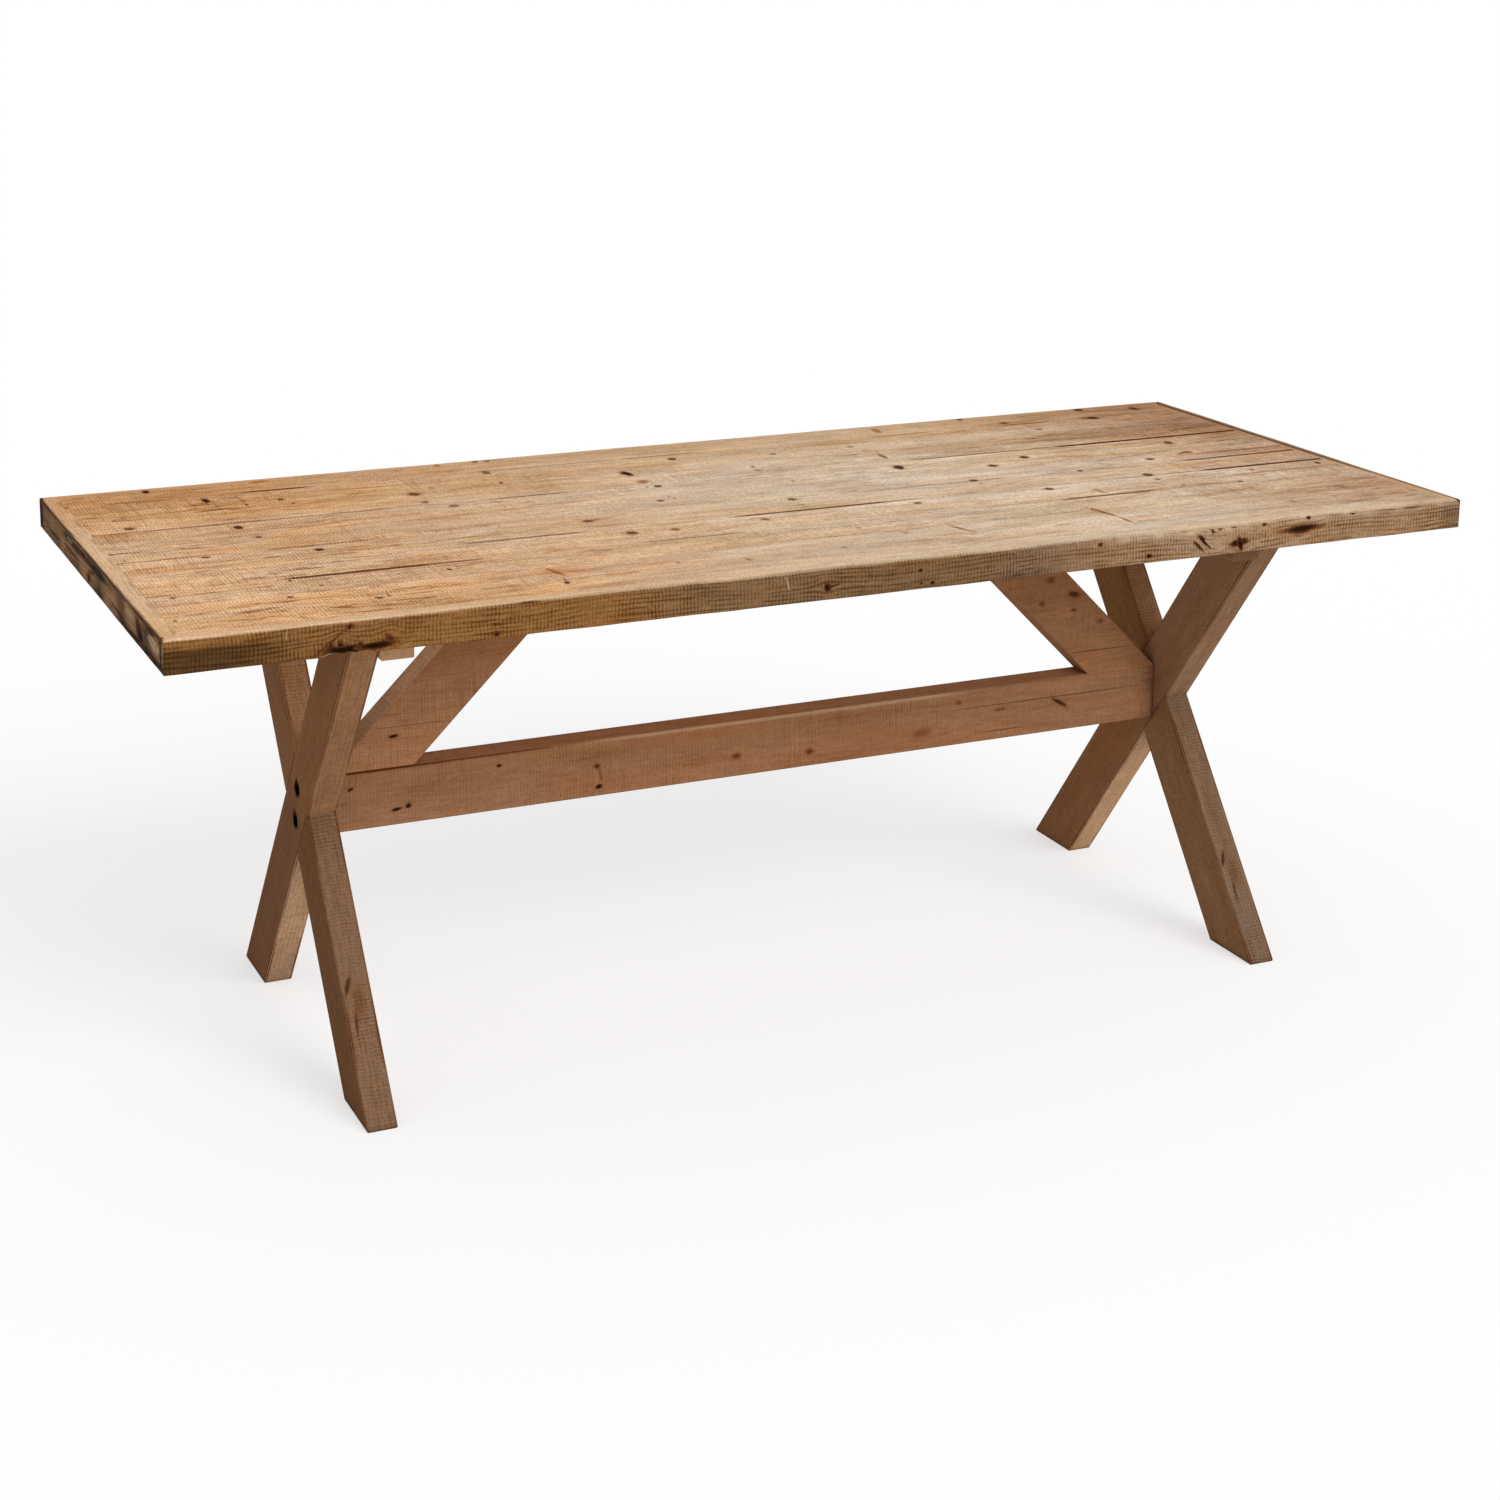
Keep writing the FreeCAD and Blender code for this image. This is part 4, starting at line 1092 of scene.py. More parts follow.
class FrameBoard:
    """One mitred board, shaped as if at the front and turned into place.

    Its own x runs along it, y goes in from its outer face, and z goes up.
    """

    CHEWED = (-0.797, -0.742)  # ends of the hollow in the front board's lower arris
    SOOTY = {"left": 0.46, "right": 0.3, "back": 0.2}
    LEFT_LINE, RIGHT_LINE = -0.9885, 1.0005  # x of the lines along the end boards

    def __init__(self, top, side):
        """Shape it; the paint comes after."""
        self.top, self.side, self.turn = top, side, FRAME_TURNS[side]
        self.node = f"frame_board_{side}"
        self.low, self.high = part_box(self.node)
        self.step = top.mesh_step * FRAME_FINENESS
        self.lengthwise = side in ("front", "back")
        axis = 0 if self.lengthwise else 1
        thick = self.high[1 - axis] - self.low[1 - axis]
        self.outer = -max(abs(self.low[1 - axis]), abs(self.high[1 - axis]))
        half = (self.high[axis] - self.low[axis]) / 2
        points, self.faces = loft(self.rings(half, thick))
        self.paint = Paint(points, X_AXIS, Y_AXIS, FRAME_SEED + self.turn)
        self.x, self.y, self.z = points.T
        self.flat_y, self.flat_z = self.y, self.z
        self.paint.grain[:, 1] += 0.004 * self.drift(9, 0.6)
        self.paint.grain[:, 2] += 0.0035 * self.drift(10, 0.45)
        if side == "front":
            self.chew()
        cos, sin = math.cos(math.radians(self.turn)), math.sin(math.radians(self.turn))
        self.world_x = self.x * cos - self.y * sin
        self.world_y = self.x * sin + self.y * cos

    def drift(self, seed, period, place=None):
        """Drift along the board, of its own for each side."""
        return drift(self.x if place is None else place, self.turn + seed, period)

    def rings(self, half, thick):
        """Mitred rings of points, half the board's length each way from its middle."""
        run = np.linspace(-1, 1, int(2 * half / self.step) + 1)
        place = run * half
        round_over = 0.004
        if self.side == "front":
            round_over = 0.0035 + 0.0065 * smooth(place, -0.75, -0.3)
        across, up = section(
            self.outer + 0.0003 * (1 + self.drift(7, 0.5, place)),
            self.outer + thick,
            self.low[2] + 0.0004 * (1 + self.drift(8, 0.2, place)),
            self.high[2] - 0.0003 * (2 + self.drift(6, 0.7, place)),
            (0.0014, 0.0006, 0.0002, round_over * (1 + 0.22 * self.drift(5, 0.35, place))),
            (6, 5, 6, 14),
        )
        mitre = half - (across - self.outer)
        return np.stack([run[:, None] * mitre, across, up], -1)

    def chew(self):
        """Move the points of the chewed hollow in the lower arris."""
        x, y, z, outer = self.x, self.y, self.z, self.outer
        ragged = 0.004 * drift(x, 31, 0.03) + 0.002 * drift(x, 32, 0.011)
        there = within(x, *self.CHEWED, 0.009)
        low = 1 - smooth(z, 0.7225 + ragged, 0.7275 + ragged)
        deep = there * low * (1 - smooth(y, outer + 0.006, outer + 0.012))
        lift = there * (1 - smooth(z, 0.7135, 0.7165)) * (1 - smooth(y, outer + 0.003, outer + 0.012))
        self.y = y + 0.006 * deep
        self.z = z + 0.0035 * lift * (0.6 + 0.4 * drift(x, 33, 0.02))

    def lay_paint(self):
        """Tones, wear, marks and the painted shade of the chewed hollow."""
        x, y, z, paint, z1 = self.x, self.y, self.z, self.paint, self.high[2]
        lip = smooth(x, -0.75, -0.3) if self.side == "front" else 0.5
        on_top = smooth(z, z1 - 0.0045 - 0.002 * lip, z1 - 0.0008)
        on_top *= smooth(y, self.outer - 0.001 + 0.002 * lip, self.outer + 0.001 + 0.006 * lip)
        self.on_top, self.on_side = on_top, 1 - on_top
        self.corner = np.hypot(np.maximum(y - self.outer, 0), np.maximum(z1 - z, 0))
        self.rub = 1 - smooth(self.corner, 0.009 + 0.003 * self.drift(12, 0.12), 0.016)
        paint.tint = top_tint(self.top, self.world_x, self.world_y)
        paint.patches(self.world_x, self.world_y, TOP_PATCHES)
        paint.tint = blend(self.side_wood(), paint.tint, on_top)
        paint.wear[:, 0] = (1.0 - on_top * 0.65) * (0.8 + 0.3 * self.drift(11, 0.3))
        if self.side == "front":
            self.wear_front()
        else:
            self.wear_plain()
        if self.side == "left":
            self.wear_left()
        if self.side == "right":
            self.line_right()
        # Painted shade: the chewed hollow is darkened where its points were moved in.
        paint.gain(smooth(self.y - self.flat_y, 0.0015, 0.005), 0.15)
        side_run = self.world_x if self.lengthwise else self.world_y
        on_face = self.flat_y < self.outer + 0.0045
        paint.mark(side_run, self.flat_z, SIDE_MARKS[self.side], self.step, on_face)
        on_lid = (z > z1 - TOP_SKIN) & (y > self.outer + 0.005)
        near = marks_near(self.low, self.high)
        paint.mark(self.world_x, self.world_y, near, self.step, on_lid)

    def side_wood(self):
        """Colour of the upright face."""
        top, x = self.top, self.x
        if self.side == "front":
            wood = blend(top.front_left, top.front_right, smooth(x, 0.10, 0.60))
            return wood * blend((1, 1, 1), (0.80, 0.94, 1.38), within(x, -0.25, 0.22, 0.16))
        return {"left": top.left_wood, "right": top.right_wood, "back": top.back_wood}[self.side]

    def wear_front(self):
        """Rubbed and chipped arris with a painted highlight, a sooty left end and a dark right end.
        """
        x, y, z, paint, z1 = self.x, self.y, self.z, self.paint, self.high[2]
        # Pale band below the top arris at the right: rubbed and chipped wood, and a painted
        # highlight.
        chips_and_sheen = within(x, 0.40, 0.60, 0.07) * (0.35 + 0.25 * drift(x, 17, 0.05))
        chips_and_sheen += 0.15 * smooth(x, 0.62, 0.7) * (1 + drift(x, 18, 0.09))
        paint.wear[:, 2] = self.rub * self.on_top * 0.25 * (1 + 0.6 * drift(x, 13, 0.12))
        paint.wear[:, 2] += chips_and_sheen * (1 - smooth(z1 - z, 0.006, 0.017)) * self.on_side
        soot = 0.66 * (1 - smooth(x, -1.0, -0.66)) + 0.05 + 0.05 * drift(x, 14, 0.25)
        soot += 0.3 * within(x, -0.02, 0.28, 0.05) * (1 - smooth(z, 0.721, 0.731))
        below = smooth(self.corner, 0.010, 0.018)
        paint.wear[:, 1] = np.clip(soot, 0, 1) * below * self.on_side
        paint.gain(smooth(x, 0.968, 0.99) * self.on_side, 0.65)
        paint.gain(within(x, 0.77, 0.93, 0.04) * self.on_side, 0.92)
        rolled = 1 - smooth(np.hypot(y - self.outer - 0.0025, z - z1 + 0.0025), 0.001, 0.004)
        paint.gain(within(x, -0.52, 0.44, 0.1) * rolled, 0.75)

    def wear_plain(self):
        """Even soot, and a rubbed arris."""
        self.soot = self.SOOTY[self.side] * (0.8 + 0.6 * self.drift(15, 0.2))
        self.paint.wear[:, 1] = np.clip(self.soot, 0, 1) * self.on_side
        self.paint.wear[:, 2] = self.rub * self.on_top * 0.15

    def wear_left(self):
        """More soot in places and along the arris, and a broken line beside the planks."""
        z, run, paint = self.z, self.world_y, self.paint
        low_part = 1 - smooth(z, 0.718, 0.729)
        soot = self.soot + 0.6 * within(z, 0.745, 0.751, 0.004) * within(run, -0.06, 0.20, 0.06)
        soot += 0.9 * low_part * (1 - smooth(run, -0.26, -0.16))
        soot += 0.15 * low_part + 0.5 * smooth(run, 0.36, 0.41)
        arris_dirt = (1 - smooth(self.corner, 0.002, 0.008)) * self.on_side
        paint.wear[:, 1] = np.maximum(np.clip(soot, 0, 1) * self.on_side, arris_dirt)
        broken = np.clip(0.5 + 0.8 * drift(run, 16, 0.12), 0, 1)
        paint.seam[:, 0] = np.abs(self.world_x - self.LEFT_LINE)
        paint.seam[:, 1] = 0.35 * self.on_top * broken
        paint.seam[:, 2] = 0.4 * self.on_top * (1.2 - broken)

    def line_right(self):
        """Dark line near the outer arris of the top, and a dark edge outside it."""
        run, paint, z1 = self.world_y, self.paint, self.high[2]
        inner = self.RIGHT_LINE - 0.006 * smooth(run, -0.40, 0.05)
        paint.seam[:, 0] = np.abs(self.world_x - inner)
        paint.seam[:, 1] = self.on_top * (0.35 + 0.55 * smooth(run, -0.40, 0.0))
        edging = smooth(self.world_x, inner, inner + 0.002)
        edging *= smooth(self.z, z1 - 0.012, z1 - 0.006)
        paint.gain(edging, (0.44, 0.37, 0.29))

    def finish(self, material):
        """Put it in the scene for its node."""
        name = f"frame_{self.side}"
        points = np.stack([self.world_x, self.world_y, self.z], -1)
        mesh = mesh_from(name, points, self.faces)
        finish_piece(name, mesh, self.paint, TOP_CREASE, material, "frame_wood", self.node)


class Board:
    """A painted copy of a straight CAD board: arrises eased, cut into small faces."""

    LONG_EDGE = 0.02  # metres; shorter edges aren't eased
    CREASE = 50  # degrees at which edges stay sharp
    FLAT, SHARP = math.radians(1), math.radians(25)  # faces to merge, edges to ease
    WELD, CUT = 1e-6, 1e-7  # metres within which points are one

    def __init__(self, node, along, across, step, ease, seed):
        """Grain runs along; the copy is cut every step in three directions."""
        self.node = node
        along, across = Vector(along).normalized(), Vector(across).normalized()
        axes = (along, across, along.cross(across))
        bm = bmesh.new()
        bm.from_mesh(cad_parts[node].data)
        bmesh.ops.remove_doubles(bm, verts=bm.verts, dist=self.WELD)
        bmesh.ops.dissolve_limit(bm, angle_limit=self.FLAT, verts=bm.verts, edges=bm.edges)
        arrises = [
            e for e in bm.edges
            if e.calc_length() > self.LONG_EDGE and e.is_convex
            and e.calc_face_angle(0) > self.SHARP
        ]
        bmesh.ops.bevel(
            bm, geom=arrises, offset=ease, segments=2, profile=0.5, affect="EDGES",
            clamp_overlap=True,
        )
        for axis in axes:
            reach = [axis.dot(v.co) for v in bm.verts]
            low, high = min(reach), max(reach)
            count = max(1, round((high - low) / step))
            for i in range(1, count):
                place = axis * (low + (high - low) * i / count)
                parts = bm.verts[:] + bm.edges[:] + bm.faces[:]
                bmesh.ops.bisect_plane(
                    bm, geom=parts, dist=self.CUT, plane_co=place, plane_no=axis
                )
        bmesh.ops.recalc_face_normals(bm, faces=bm.faces)
        self.mesh = bpy.data.meshes.new(node)
        bm.to_mesh(self.mesh)
        bm.free()
        self.read_corners()
        self.paint = Paint(self.points, along, across, seed, "CORNER")
        self.local = self.points @ np.array(axes).T
        self.facing = self.normals @ np.array(axes).T

    def read_corners(self):
        """Place and face normal at every corner of every face."""
        mesh = self.mesh
        points = np.empty(len(mesh.vertices) * 3)
        mesh.vertices.foreach_get("co", points)
        corners = np.empty(len(mesh.loops), dtype=np.int32)
        mesh.loops.foreach_get("vertex_index", corners)
        normals = np.empty(len(mesh.polygons) * 3)
        mesh.polygons.foreach_get("normal", normals)
        totals = np.empty(len(mesh.polygons), dtype=np.int32)
        mesh.polygons.foreach_get("loop_total", totals)
        self.points = points.reshape(-1, 3)[corners]
        self.normals = np.repeat(normals.reshape(-1, 3), totals, axis=0)

    def arris_lines(self, dark, pale):
        """Dirt and rubbing along the long arrises, stronger and weaker by turns."""
        run, side, depth = self.local.T
        edge = []
        for place, facing in ((side, self.facing[:, 2]), (depth, self.facing[:, 1])):
            middle, reach = (place.max() + place.min()) / 2, (place.max() - place.min()) / 2
            edge.append(np.where(np.abs(facing) > 0.9, reach - np.abs(place - middle), 1.0))
        seed = len(self.points) % 97
        wave = 0.65 + 0.35 * drift(run, seed, 0.3)
        self.paint.seam[:, 0] = np.minimum(*edge)
        self.paint.seam[:, 1] = dark * wave
        self.paint.seam[:, 2] = pale * (1.2 - wave)

    def finish(self, name, material, slot_name):
        """Put it in the scene for its node."""
        finish_piece(name, self.mesh, self.paint, self.CREASE, material, slot_name, self.node)


# ---- Operators for the boards ----


class SAWBUCK_OT_planks(Operator):
    """Lay the seven planks of the top"""

    bl_idname = "sawbuck.planks"
    bl_label = "Planks"

    def execute(self, context):
        material = sawn_wood("plank_wood_sawn", lines=0.5, streaks=0.75, flecks=1.15,
                             strokes=0.9, comb=0.5, blotch=0.6, dashes=0.85, finer=0.0, reach=0.0031)
        for index in range(len(PLANKS)):
            plank_piece(context.scene.sawbuck_top, index, material)
        return {"FINISHED"}


class SAWBUCK_OT_frame_boards(Operator):
    """Put the mitred frame round the planks"""

    bl_idname = "sawbuck.frame_boards"
    bl_label = "Frame boards"

    def execute(self, context):
        material = sawn_wood("frame_wood_sawn", lines=0.4, streaks=0.3, flecks=0.9,
                             strokes=0.3, comb=0.8, bars=0.85, blotch=0.2, dashes=0.2)
        for side in FRAME_TURNS:
            board = FrameBoard(context.scene.sawbuck_top, side)
            board.lay_paint()
            board.finish(material)
        return {"FINISHED"}


class SAWBUCK_OT_trestles(Operator):
    """Stand up the crossed legs"""

    bl_idname = "sawbuck.trestles"
    bl_label = "Trestles"

    def execute(self, context):
        look = context.scene.sawbuck_trestle
        material = sawn_wood("leg_wood_sawn", lines=0.35, streaks=0.4, flecks=0.7,
                             strokes=0.8, comb=0.44, bars=0.26, late=(0.74, 0.66, 0.56))
        for i, (side, name) in enumerate(LEG_TONE_AND_SHADING):
            self.leg(look, side, name, LEG_SEED + i, material)
        return {"FINISHED"}

    def leg(self, look, side, name, seed, material):
        """One leg: a has its foot at the front, b at the back."""
        along = Vector((0, LEG_SLOPE if name == "a" else -LEG_SLOPE, 1)).normalized()
        across = (0, along.z, -along.y)
        board = Board(f"leg_{side}_{name}", along, across, look.mesh_step, look.ease, seed)
        paint, (_, y, z) = board.paint, board.points.T
        up, _, depth = board.local.T
        up = up - along.z * CROSSING
        front = board.facing[:, 1] < -FACING
        # Painted light and shade: each face takes the gains for its side or front, below or above the
        # crossing.
        low_side, high_side, low_front, high_front = LEG_TONE_AND_SHADING[side, name]
        higher = smooth(up, -0.03, 0.03)
        side_shading = blend(low_side, high_side, higher)
        front_shading = blend(low_front, high_front, higher)
        paint.tint = np.array(look.leg_wood) * np.where(front[:, None], front_shading, side_shading)
        # Painted light: the front faces of the left legs are lightened further where they lie in
        # shade, below the top and near the crossing.
        if (side, name) == ("left", "a"):
            paint.gain(front * smooth(up, 0.12, 0.36), 1.45)
        if (side, name) == ("left", "b"):
            paint.gain(front * within(up, -0.25, -0.03, 0.15), 1.25)
            paint.gain(front * smooth(up, 0.2, 0.40), 1.25)
        paint.wear[:, 0] = np.where(front, 1.0, 0.5) * (0.8 + 0.3 * drift(up, seed, 0.3))
        if name == "a":
            lower = SCAR_DROP[side]
            middle = (depth.max() + depth.min()) / 2
            paint.mark(up + lower, middle - depth, LEG_SCAR, look.mesh_step, front)
        board.arris_lines(1.0, 0.12)
        paint.gain(1 - smooth(z, 0.001, 0.007), 0.6)
        # Painted shade in the bolts' holes: the leg is darkened near each bolt's axis.
        for (_, bolt_y, bolt_z), _ in bolt_seats():
            paint.gain(np.hypot(y - bolt_y, z - bolt_z) < BOLT_HOLE_SHADE, 0.16)
        board.finish(f"trestle_{side}_{name}", material, "leg_wood")


class SAWBUCK_OT_rails(Operator):
    """Fit the stretcher and its two braces"""

    bl_idname = "sawbuck.rails"
    bl_label = "Stretcher and braces"

    def execute(self, context):
        look = context.scene.sawbuck_trestle
        material = sawn_wood("rail_wood_sawn", lines=0.5, streaks=0.5, flecks=0.5,
                             strokes=0.8, comb=0.36, late=(0.74, 0.62, 0.50))
        self.stretcher(look, material)
        for i, side in enumerate(SIDES):
            self.brace(look, side, i, material)
        return {"FINISHED"}

    def stretcher(self, look, material):
        """The rail between the trestles: cracked along its top arris at the left, with a painted
        highlight along that arris further right and its upward face painted lighter.
        """
        step, ease = look.mesh_step, look.ease
        board = Board("stretcher", X_AXIS, Y_AXIS, step, ease, STRETCHER_SEED)
        paint, (x, _, z) = board.paint, board.points.T
        front = board.normals[:, 1] < -FACING
        paint.tint[:] = look.rail_wood
        # Painted light: the upward face is lightened against the shade of the table top.
        paint.gain(board.normals[:, 2] > FACING, 1.35)
        paint.gain(smooth(x, x.max() - 0.006, x.max() - 0.002), 0.5)
        paint.wear[:, 0] = 0.8 + 0.3 * drift(x, 41, 0.4)
        paint.mark(x, z, RAIL_MARKS, step, front)
        board.arris_lines(0.2, 0.1)
        crack = (1 - smooth(x, -0.40, -0.28)) * (0.8 + 0.2 * smooth(-x, 0.48, 0.58))
        # Painted highlight: a pale line along the middle of the top arris.
        painted_highlight = smooth(x, -0.32, -0.20) * (1 - smooth(x, 0.30, 0.40)) * 0.45
        to_top = z.max() - z
        high = front & (to_top < 0.02)
        paint.seam[high] = np.stack([to_top, crack, painted_highlight], -1)[high]
        board.finish("rail_stretcher", material, "stretcher_wood")

    def brace(self, look, side, index, material):
        """One brace, its upper face painted lighter against the shade of the top."""
        step, ease = look.mesh_step, look.ease
        board = Board(f"brace_{side}", X_AXIS, Y_AXIS, step, ease, BRACE_SEED + index)
        paint, (x, _, z) = board.paint, board.points.T
        upper = board.normals[:, 2] > 0.5
        paint.tint[:] = np.array(look.brace_wood) * BRACE_GAIN[side]
        # Painted light: the upper face is lightened against the shade of the top, more so higher up.
        paint.gain(upper, (1.55, 1.9, 2.3))
        paint.gain(upper * smooth(z, 0.42, 0.70), (1.9, 2.5, 3.0))
        paint.gain(1 - smooth(z, 0.45, 0.62), (1.0, 1.13, 1.26))
        paint.wear[:, 0] = 0.6 + 0.3 * drift(z, 43 + index, 0.2)
        paint.mark(x, z, BRACE_MARKS[side], step, board.normals[:, 1] < -FACING)
        board.finish(f"strut_{side}", material, "brace_wood")


class SAWBUCK_OT_underside(Operator):
    """Fit the battens under the planks, and the cleats"""

    bl_idname = "sawbuck.underside"
    bl_label = "Battens and cleats"

    def execute(self, context):
        look = context.scene.sawbuck_trestle
        material = sawn_wood("batten_wood_sawn", lines=0.4, streaks=0.45, flecks=0.35,
                             strokes=0.35)
        jobs = [(f"batten_{name}", f"strip_{name}", Y_AXIS, X_AXIS) for name in BATTENS]
        for side in SIDES:
            jobs.append((f"brace_cleat_{side}", f"cleat_brace_{side}", X_AXIS, Y_AXIS))
            jobs.append((f"rail_cleat_{side}", f"cleat_rail_{side}", Y_AXIS, X_AXIS))
        for i, (node, name, along, across) in enumerate(jobs):
            board = Board(node, along, across, HIDDEN_STEP, look.ease, UNDERSIDE_SEED + i)
            batten = node.startswith("batten")
            board.paint.tint[:] = look.batten_wood if batten else look.cleat_wood
            # Painted shade on the cleats of the right trestle.
            if not batten and node.endswith("right"):
                board.paint.tint *= RIGHT_CLEAT_SHADE
            board.paint.wear[:, 0] = 0.8
            board.arris_lines(0.35, 0.2)
            board.finish(name, material, "batten_wood" if batten else "cleat_wood")
        return {"FINISHED"}


# ---- Screws and bolts ----


def cone(graph, sides, near, far, depth, start):
    """Cone frustum along Z: its radii at both ends, its length and where it starts."""
    values = {"Vertices": sides, "Radius Bottom": near, "Radius Top": far, "Depth": depth}
    shape = graph.add("GeometryNodeMeshCone", values, fill_type="NGON")
    place = graph.add("ShaderNodeCombineXYZ", {"Z": start})
    return graph.add("GeometryNodeTransform", {"Geometry": shape, "Translation": place})


def combined(graph, operation, values):
    """Closed shell made by a boolean operation."""
    return graph.add("GeometryNodeMeshBoolean", values, operation=operation, solver="EXACT")


def screw_shape(graph, size):
    """Countersunk screw with a cross recess, flush at the origin and pointing up Z."""
    head, shank, length = size["Head"], size["Shank"], size["Length"]
    depth = (head - shank) * 0.5
    radius = shank * 0.5
    overlap = 0.0002
    parts = [  # head, shank, tip
        cone(graph, 16, head * 0.5, radius, depth, 0.0),
        cone(graph, 12, radius, radius, length - depth - shank + overlap, depth - overlap),
        cone(graph, 12, radius, radius * 0.34, shank, length - shank),
    ]
    bars = []
    for wide, narrow in ((0.5, 0.11), (0.11, 0.5)):
        extent = {"X": head * wide, "Y": head * narrow, "Z": head * 0.3}
        extent = graph.add("ShaderNodeCombineXYZ", extent)
        bars.append(graph.add("GeometryNodeMeshCube", {"Size": extent}))
    whole = combined(graph, "UNION", {"Mesh 2": parts})
    return combined(graph, "DIFFERENCE", {"Mesh 1": whole, "Mesh 2": bars})


def hexagon_shape(graph, size):
    """Hexagon head with chamfered corners over a washer, its shank pointing up Z."""
    flats, height, washer = size["Head"], size["Height"], size["Washer"]
    overlap = 0.001
    slope = math.sqrt(3)
    top = (height + washer) * -1.0
    corner = flats / slope
    prism = cone(graph, 6, corner, corner, height, top)
    bound = cone(graph, 32, flats * 0.48, flats * 0.48 + height * slope, height + 0.0001, top)
    head = combined(graph, "INTERSECT", {"Mesh 2": [prism, bound]})
    radius = size["Shank"] * 0.5
    start = (washer + overlap) * -1.0
    shank = cone(graph, 16, radius, radius, size["Length"] + washer + overlap, start)
    return combined(graph, "UNION", {"Mesh 2": [head, shank]})


def fixing_tree(name, labels, shape):
    """Geometry nodes that put one fixing on every point, facing the way of its aim."""
    tree = bpy.data.node_groups.new(name, "GeometryNodeTree")
    new_socket = tree.interface.new_socket
    new_socket("Seats", in_out="INPUT", socket_type="NodeSocketGeometry")
    for label in labels:
        socket = new_socket(label, in_out="INPUT", socket_type="NodeSocketFloat")
        socket.subtype = "DISTANCE"
    new_socket("Finish", in_out="INPUT", socket_type="NodeSocketMaterial")
    new_socket("Fixings", in_out="OUTPUT", socket_type="NodeSocketGeometry")
    graph = Graph(tree)
    inputs = graph.node("NodeGroupInput")
    size = {socket.name: Value(graph, socket) for socket in inputs.outputs}
    fixing = shape(graph, size)
    aim = graph.add("GeometryNodeInputNamedAttribute", {"Name": "aim"}, data_type="FLOAT_VECTOR")
    facing = graph.add("FunctionNodeAlignRotationToVector", {"Vector": aim}, axis="Z")
    values = {"Min_001": 0.0, "Max_001": 2 * math.pi, "Seed": 7}
    angle = graph.add("FunctionNodeRandomValue", values, 1, data_type="FLOAT")
    spin = graph.add("FunctionNodeAxisAngleToRotation", {"Axis": (0, 0, 1), "Angle": angle})
    values = {"Rotation": facing, "Rotate By": spin}
    turned = graph.add("FunctionNodeRotateRotation", values, rotation_space="LOCAL")
    values = {"Points": size["Seats"], "Instance": fixing, "Rotation": turned}
    placed = graph.add("GeometryNodeInstanceOnPoints", values)
    real = graph.add("GeometryNodeRealizeInstances", {"Geometry": placed})
    values = {"Geometry": real, "Material": size["Finish"]}
    finished = graph.add("GeometryNodeSetMaterial", values)
    graph.node("NodeGroupOutput", {"Fixings": finished})
    return tree


def fixings(name, node, seats, tree, sizes, material, slot_name):
    """One piece with a fixing at every seat: its place, and the way it points."""
    mesh = bpy.data.meshes.new(f"{name}_seats")
    mesh.from_pydata([place for place, _ in seats], [], [])
    aim = mesh.attributes.new("aim", "FLOAT_VECTOR", "POINT")
    aim.data.foreach_set("vector", [c for _, way in seats for c in way])
    holder = put_in_scene(f"{name}_seats", mesh)
    modifier = holder.modifiers.new("fixings", "NODES")
    modifier.node_group = tree
    values = {**sizes, "Finish": material}
    for item in tree.interface.items_tree:
        if item.in_out == "INPUT" and item.name in values:
            modifier[item.identifier] = values[item.name]
    bpy.context.view_layer.update()
    seen = holder.evaluated_get(bpy.context.evaluated_depsgraph_get())
    result = bpy.data.meshes.new_from_object(seen)
    holder.modifiers.remove(modifier)
    bpy.data.objects.remove(holder)
    if not result.polygons:
        raise RuntimeError(f"{name}: no fixings were made")
    result.name = name
    result.shade_flat()
    place_piece(name, result, material, slot_name, node)


def rows(count, spacing):
    """Evenly spaced places round 0, in metres from a spacing in millimetres."""
    return [(i - (count - 1) / 2) * spacing * MM for i in range(count)]


def batten_seats():
    """Two staggered rows of screws in every batten, one in each plank."""
    seats = []
    for name in BATTENS:
        low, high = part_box(f"batten_{name}")
        middle = (low[0] + high[0]) / 2
        for i, plank in enumerate(PLANKS):
            front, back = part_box(plank)
            stagger = BATTEN_STAGGER if i % 2 else -BATTEN_STAGGER
            place = (middle + stagger * MM, (front[1] + back[1]) / 2, low[2])
            seats.append((place, (0, 0, 1)))
    return seats


def cleat_seats():
    """Four screws up through each cleat of the trestles."""
    seats = []
    for side in SIDES:
        low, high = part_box(f"rail_cleat_{side}")
        middle = (low[0] + high[0]) / 2
        seats += [((middle, y, low[2]), (0, 0, 1)) for y in rows(4, CLEAT_SPACING)]
    return seats


def brace_seats():
    """Two screws up and two back through each cleat of the braces."""
    seats = []
    for side in SIDES:
        low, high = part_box(f"brace_cleat_{side}")
        x, y, z = ((low[i] + high[i]) / 2 for i in range(3))
        seats += [((x + dx, y, low[2]), (0, 0, 1)) for dx in rows(2, BRACE_UP_SPACING)]
        seats += [((x + dx, high[1], z), (0, -1, 0)) for dx in rows(2, BRACE_BACK_SPACING)]
    return seats


def lag_seats():
    """Two lag screws through the cleat into each leg."""
    seats = []
    for side in SIDES:
        low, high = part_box(f"rail_cleat_{side}")
        inner, way = (high[0], -1) if side == "left" else (low[0], 1)
        z = (low[2] + high[2]) / 2
        leg_y = (z - CROSSING) * LEG_SLOPE
        for middle in (-leg_y, leg_y):
            seats += [((inner, middle + dy, z), (way, 0, 0)) for dy in rows(2, LAG_SPACING)]
    return seats


def bolt_seats():
    """Two bolts through each crossing into the end of the stretcher."""
    seats = []
    for side in SIDES:
        low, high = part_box(f"leg_{side}_a")
        outer, way = (low[0], 1) if side == "left" else (high[0], -1)
        for dz, dy in zip(rows(2, BOLT_SPACING), rows(2, -BOLT_STAGGER)):
            seats.append(((outer + way * BOLT_SINK * MM, dy, CROSSING + dz), (way, 0, 0)))
    return seats


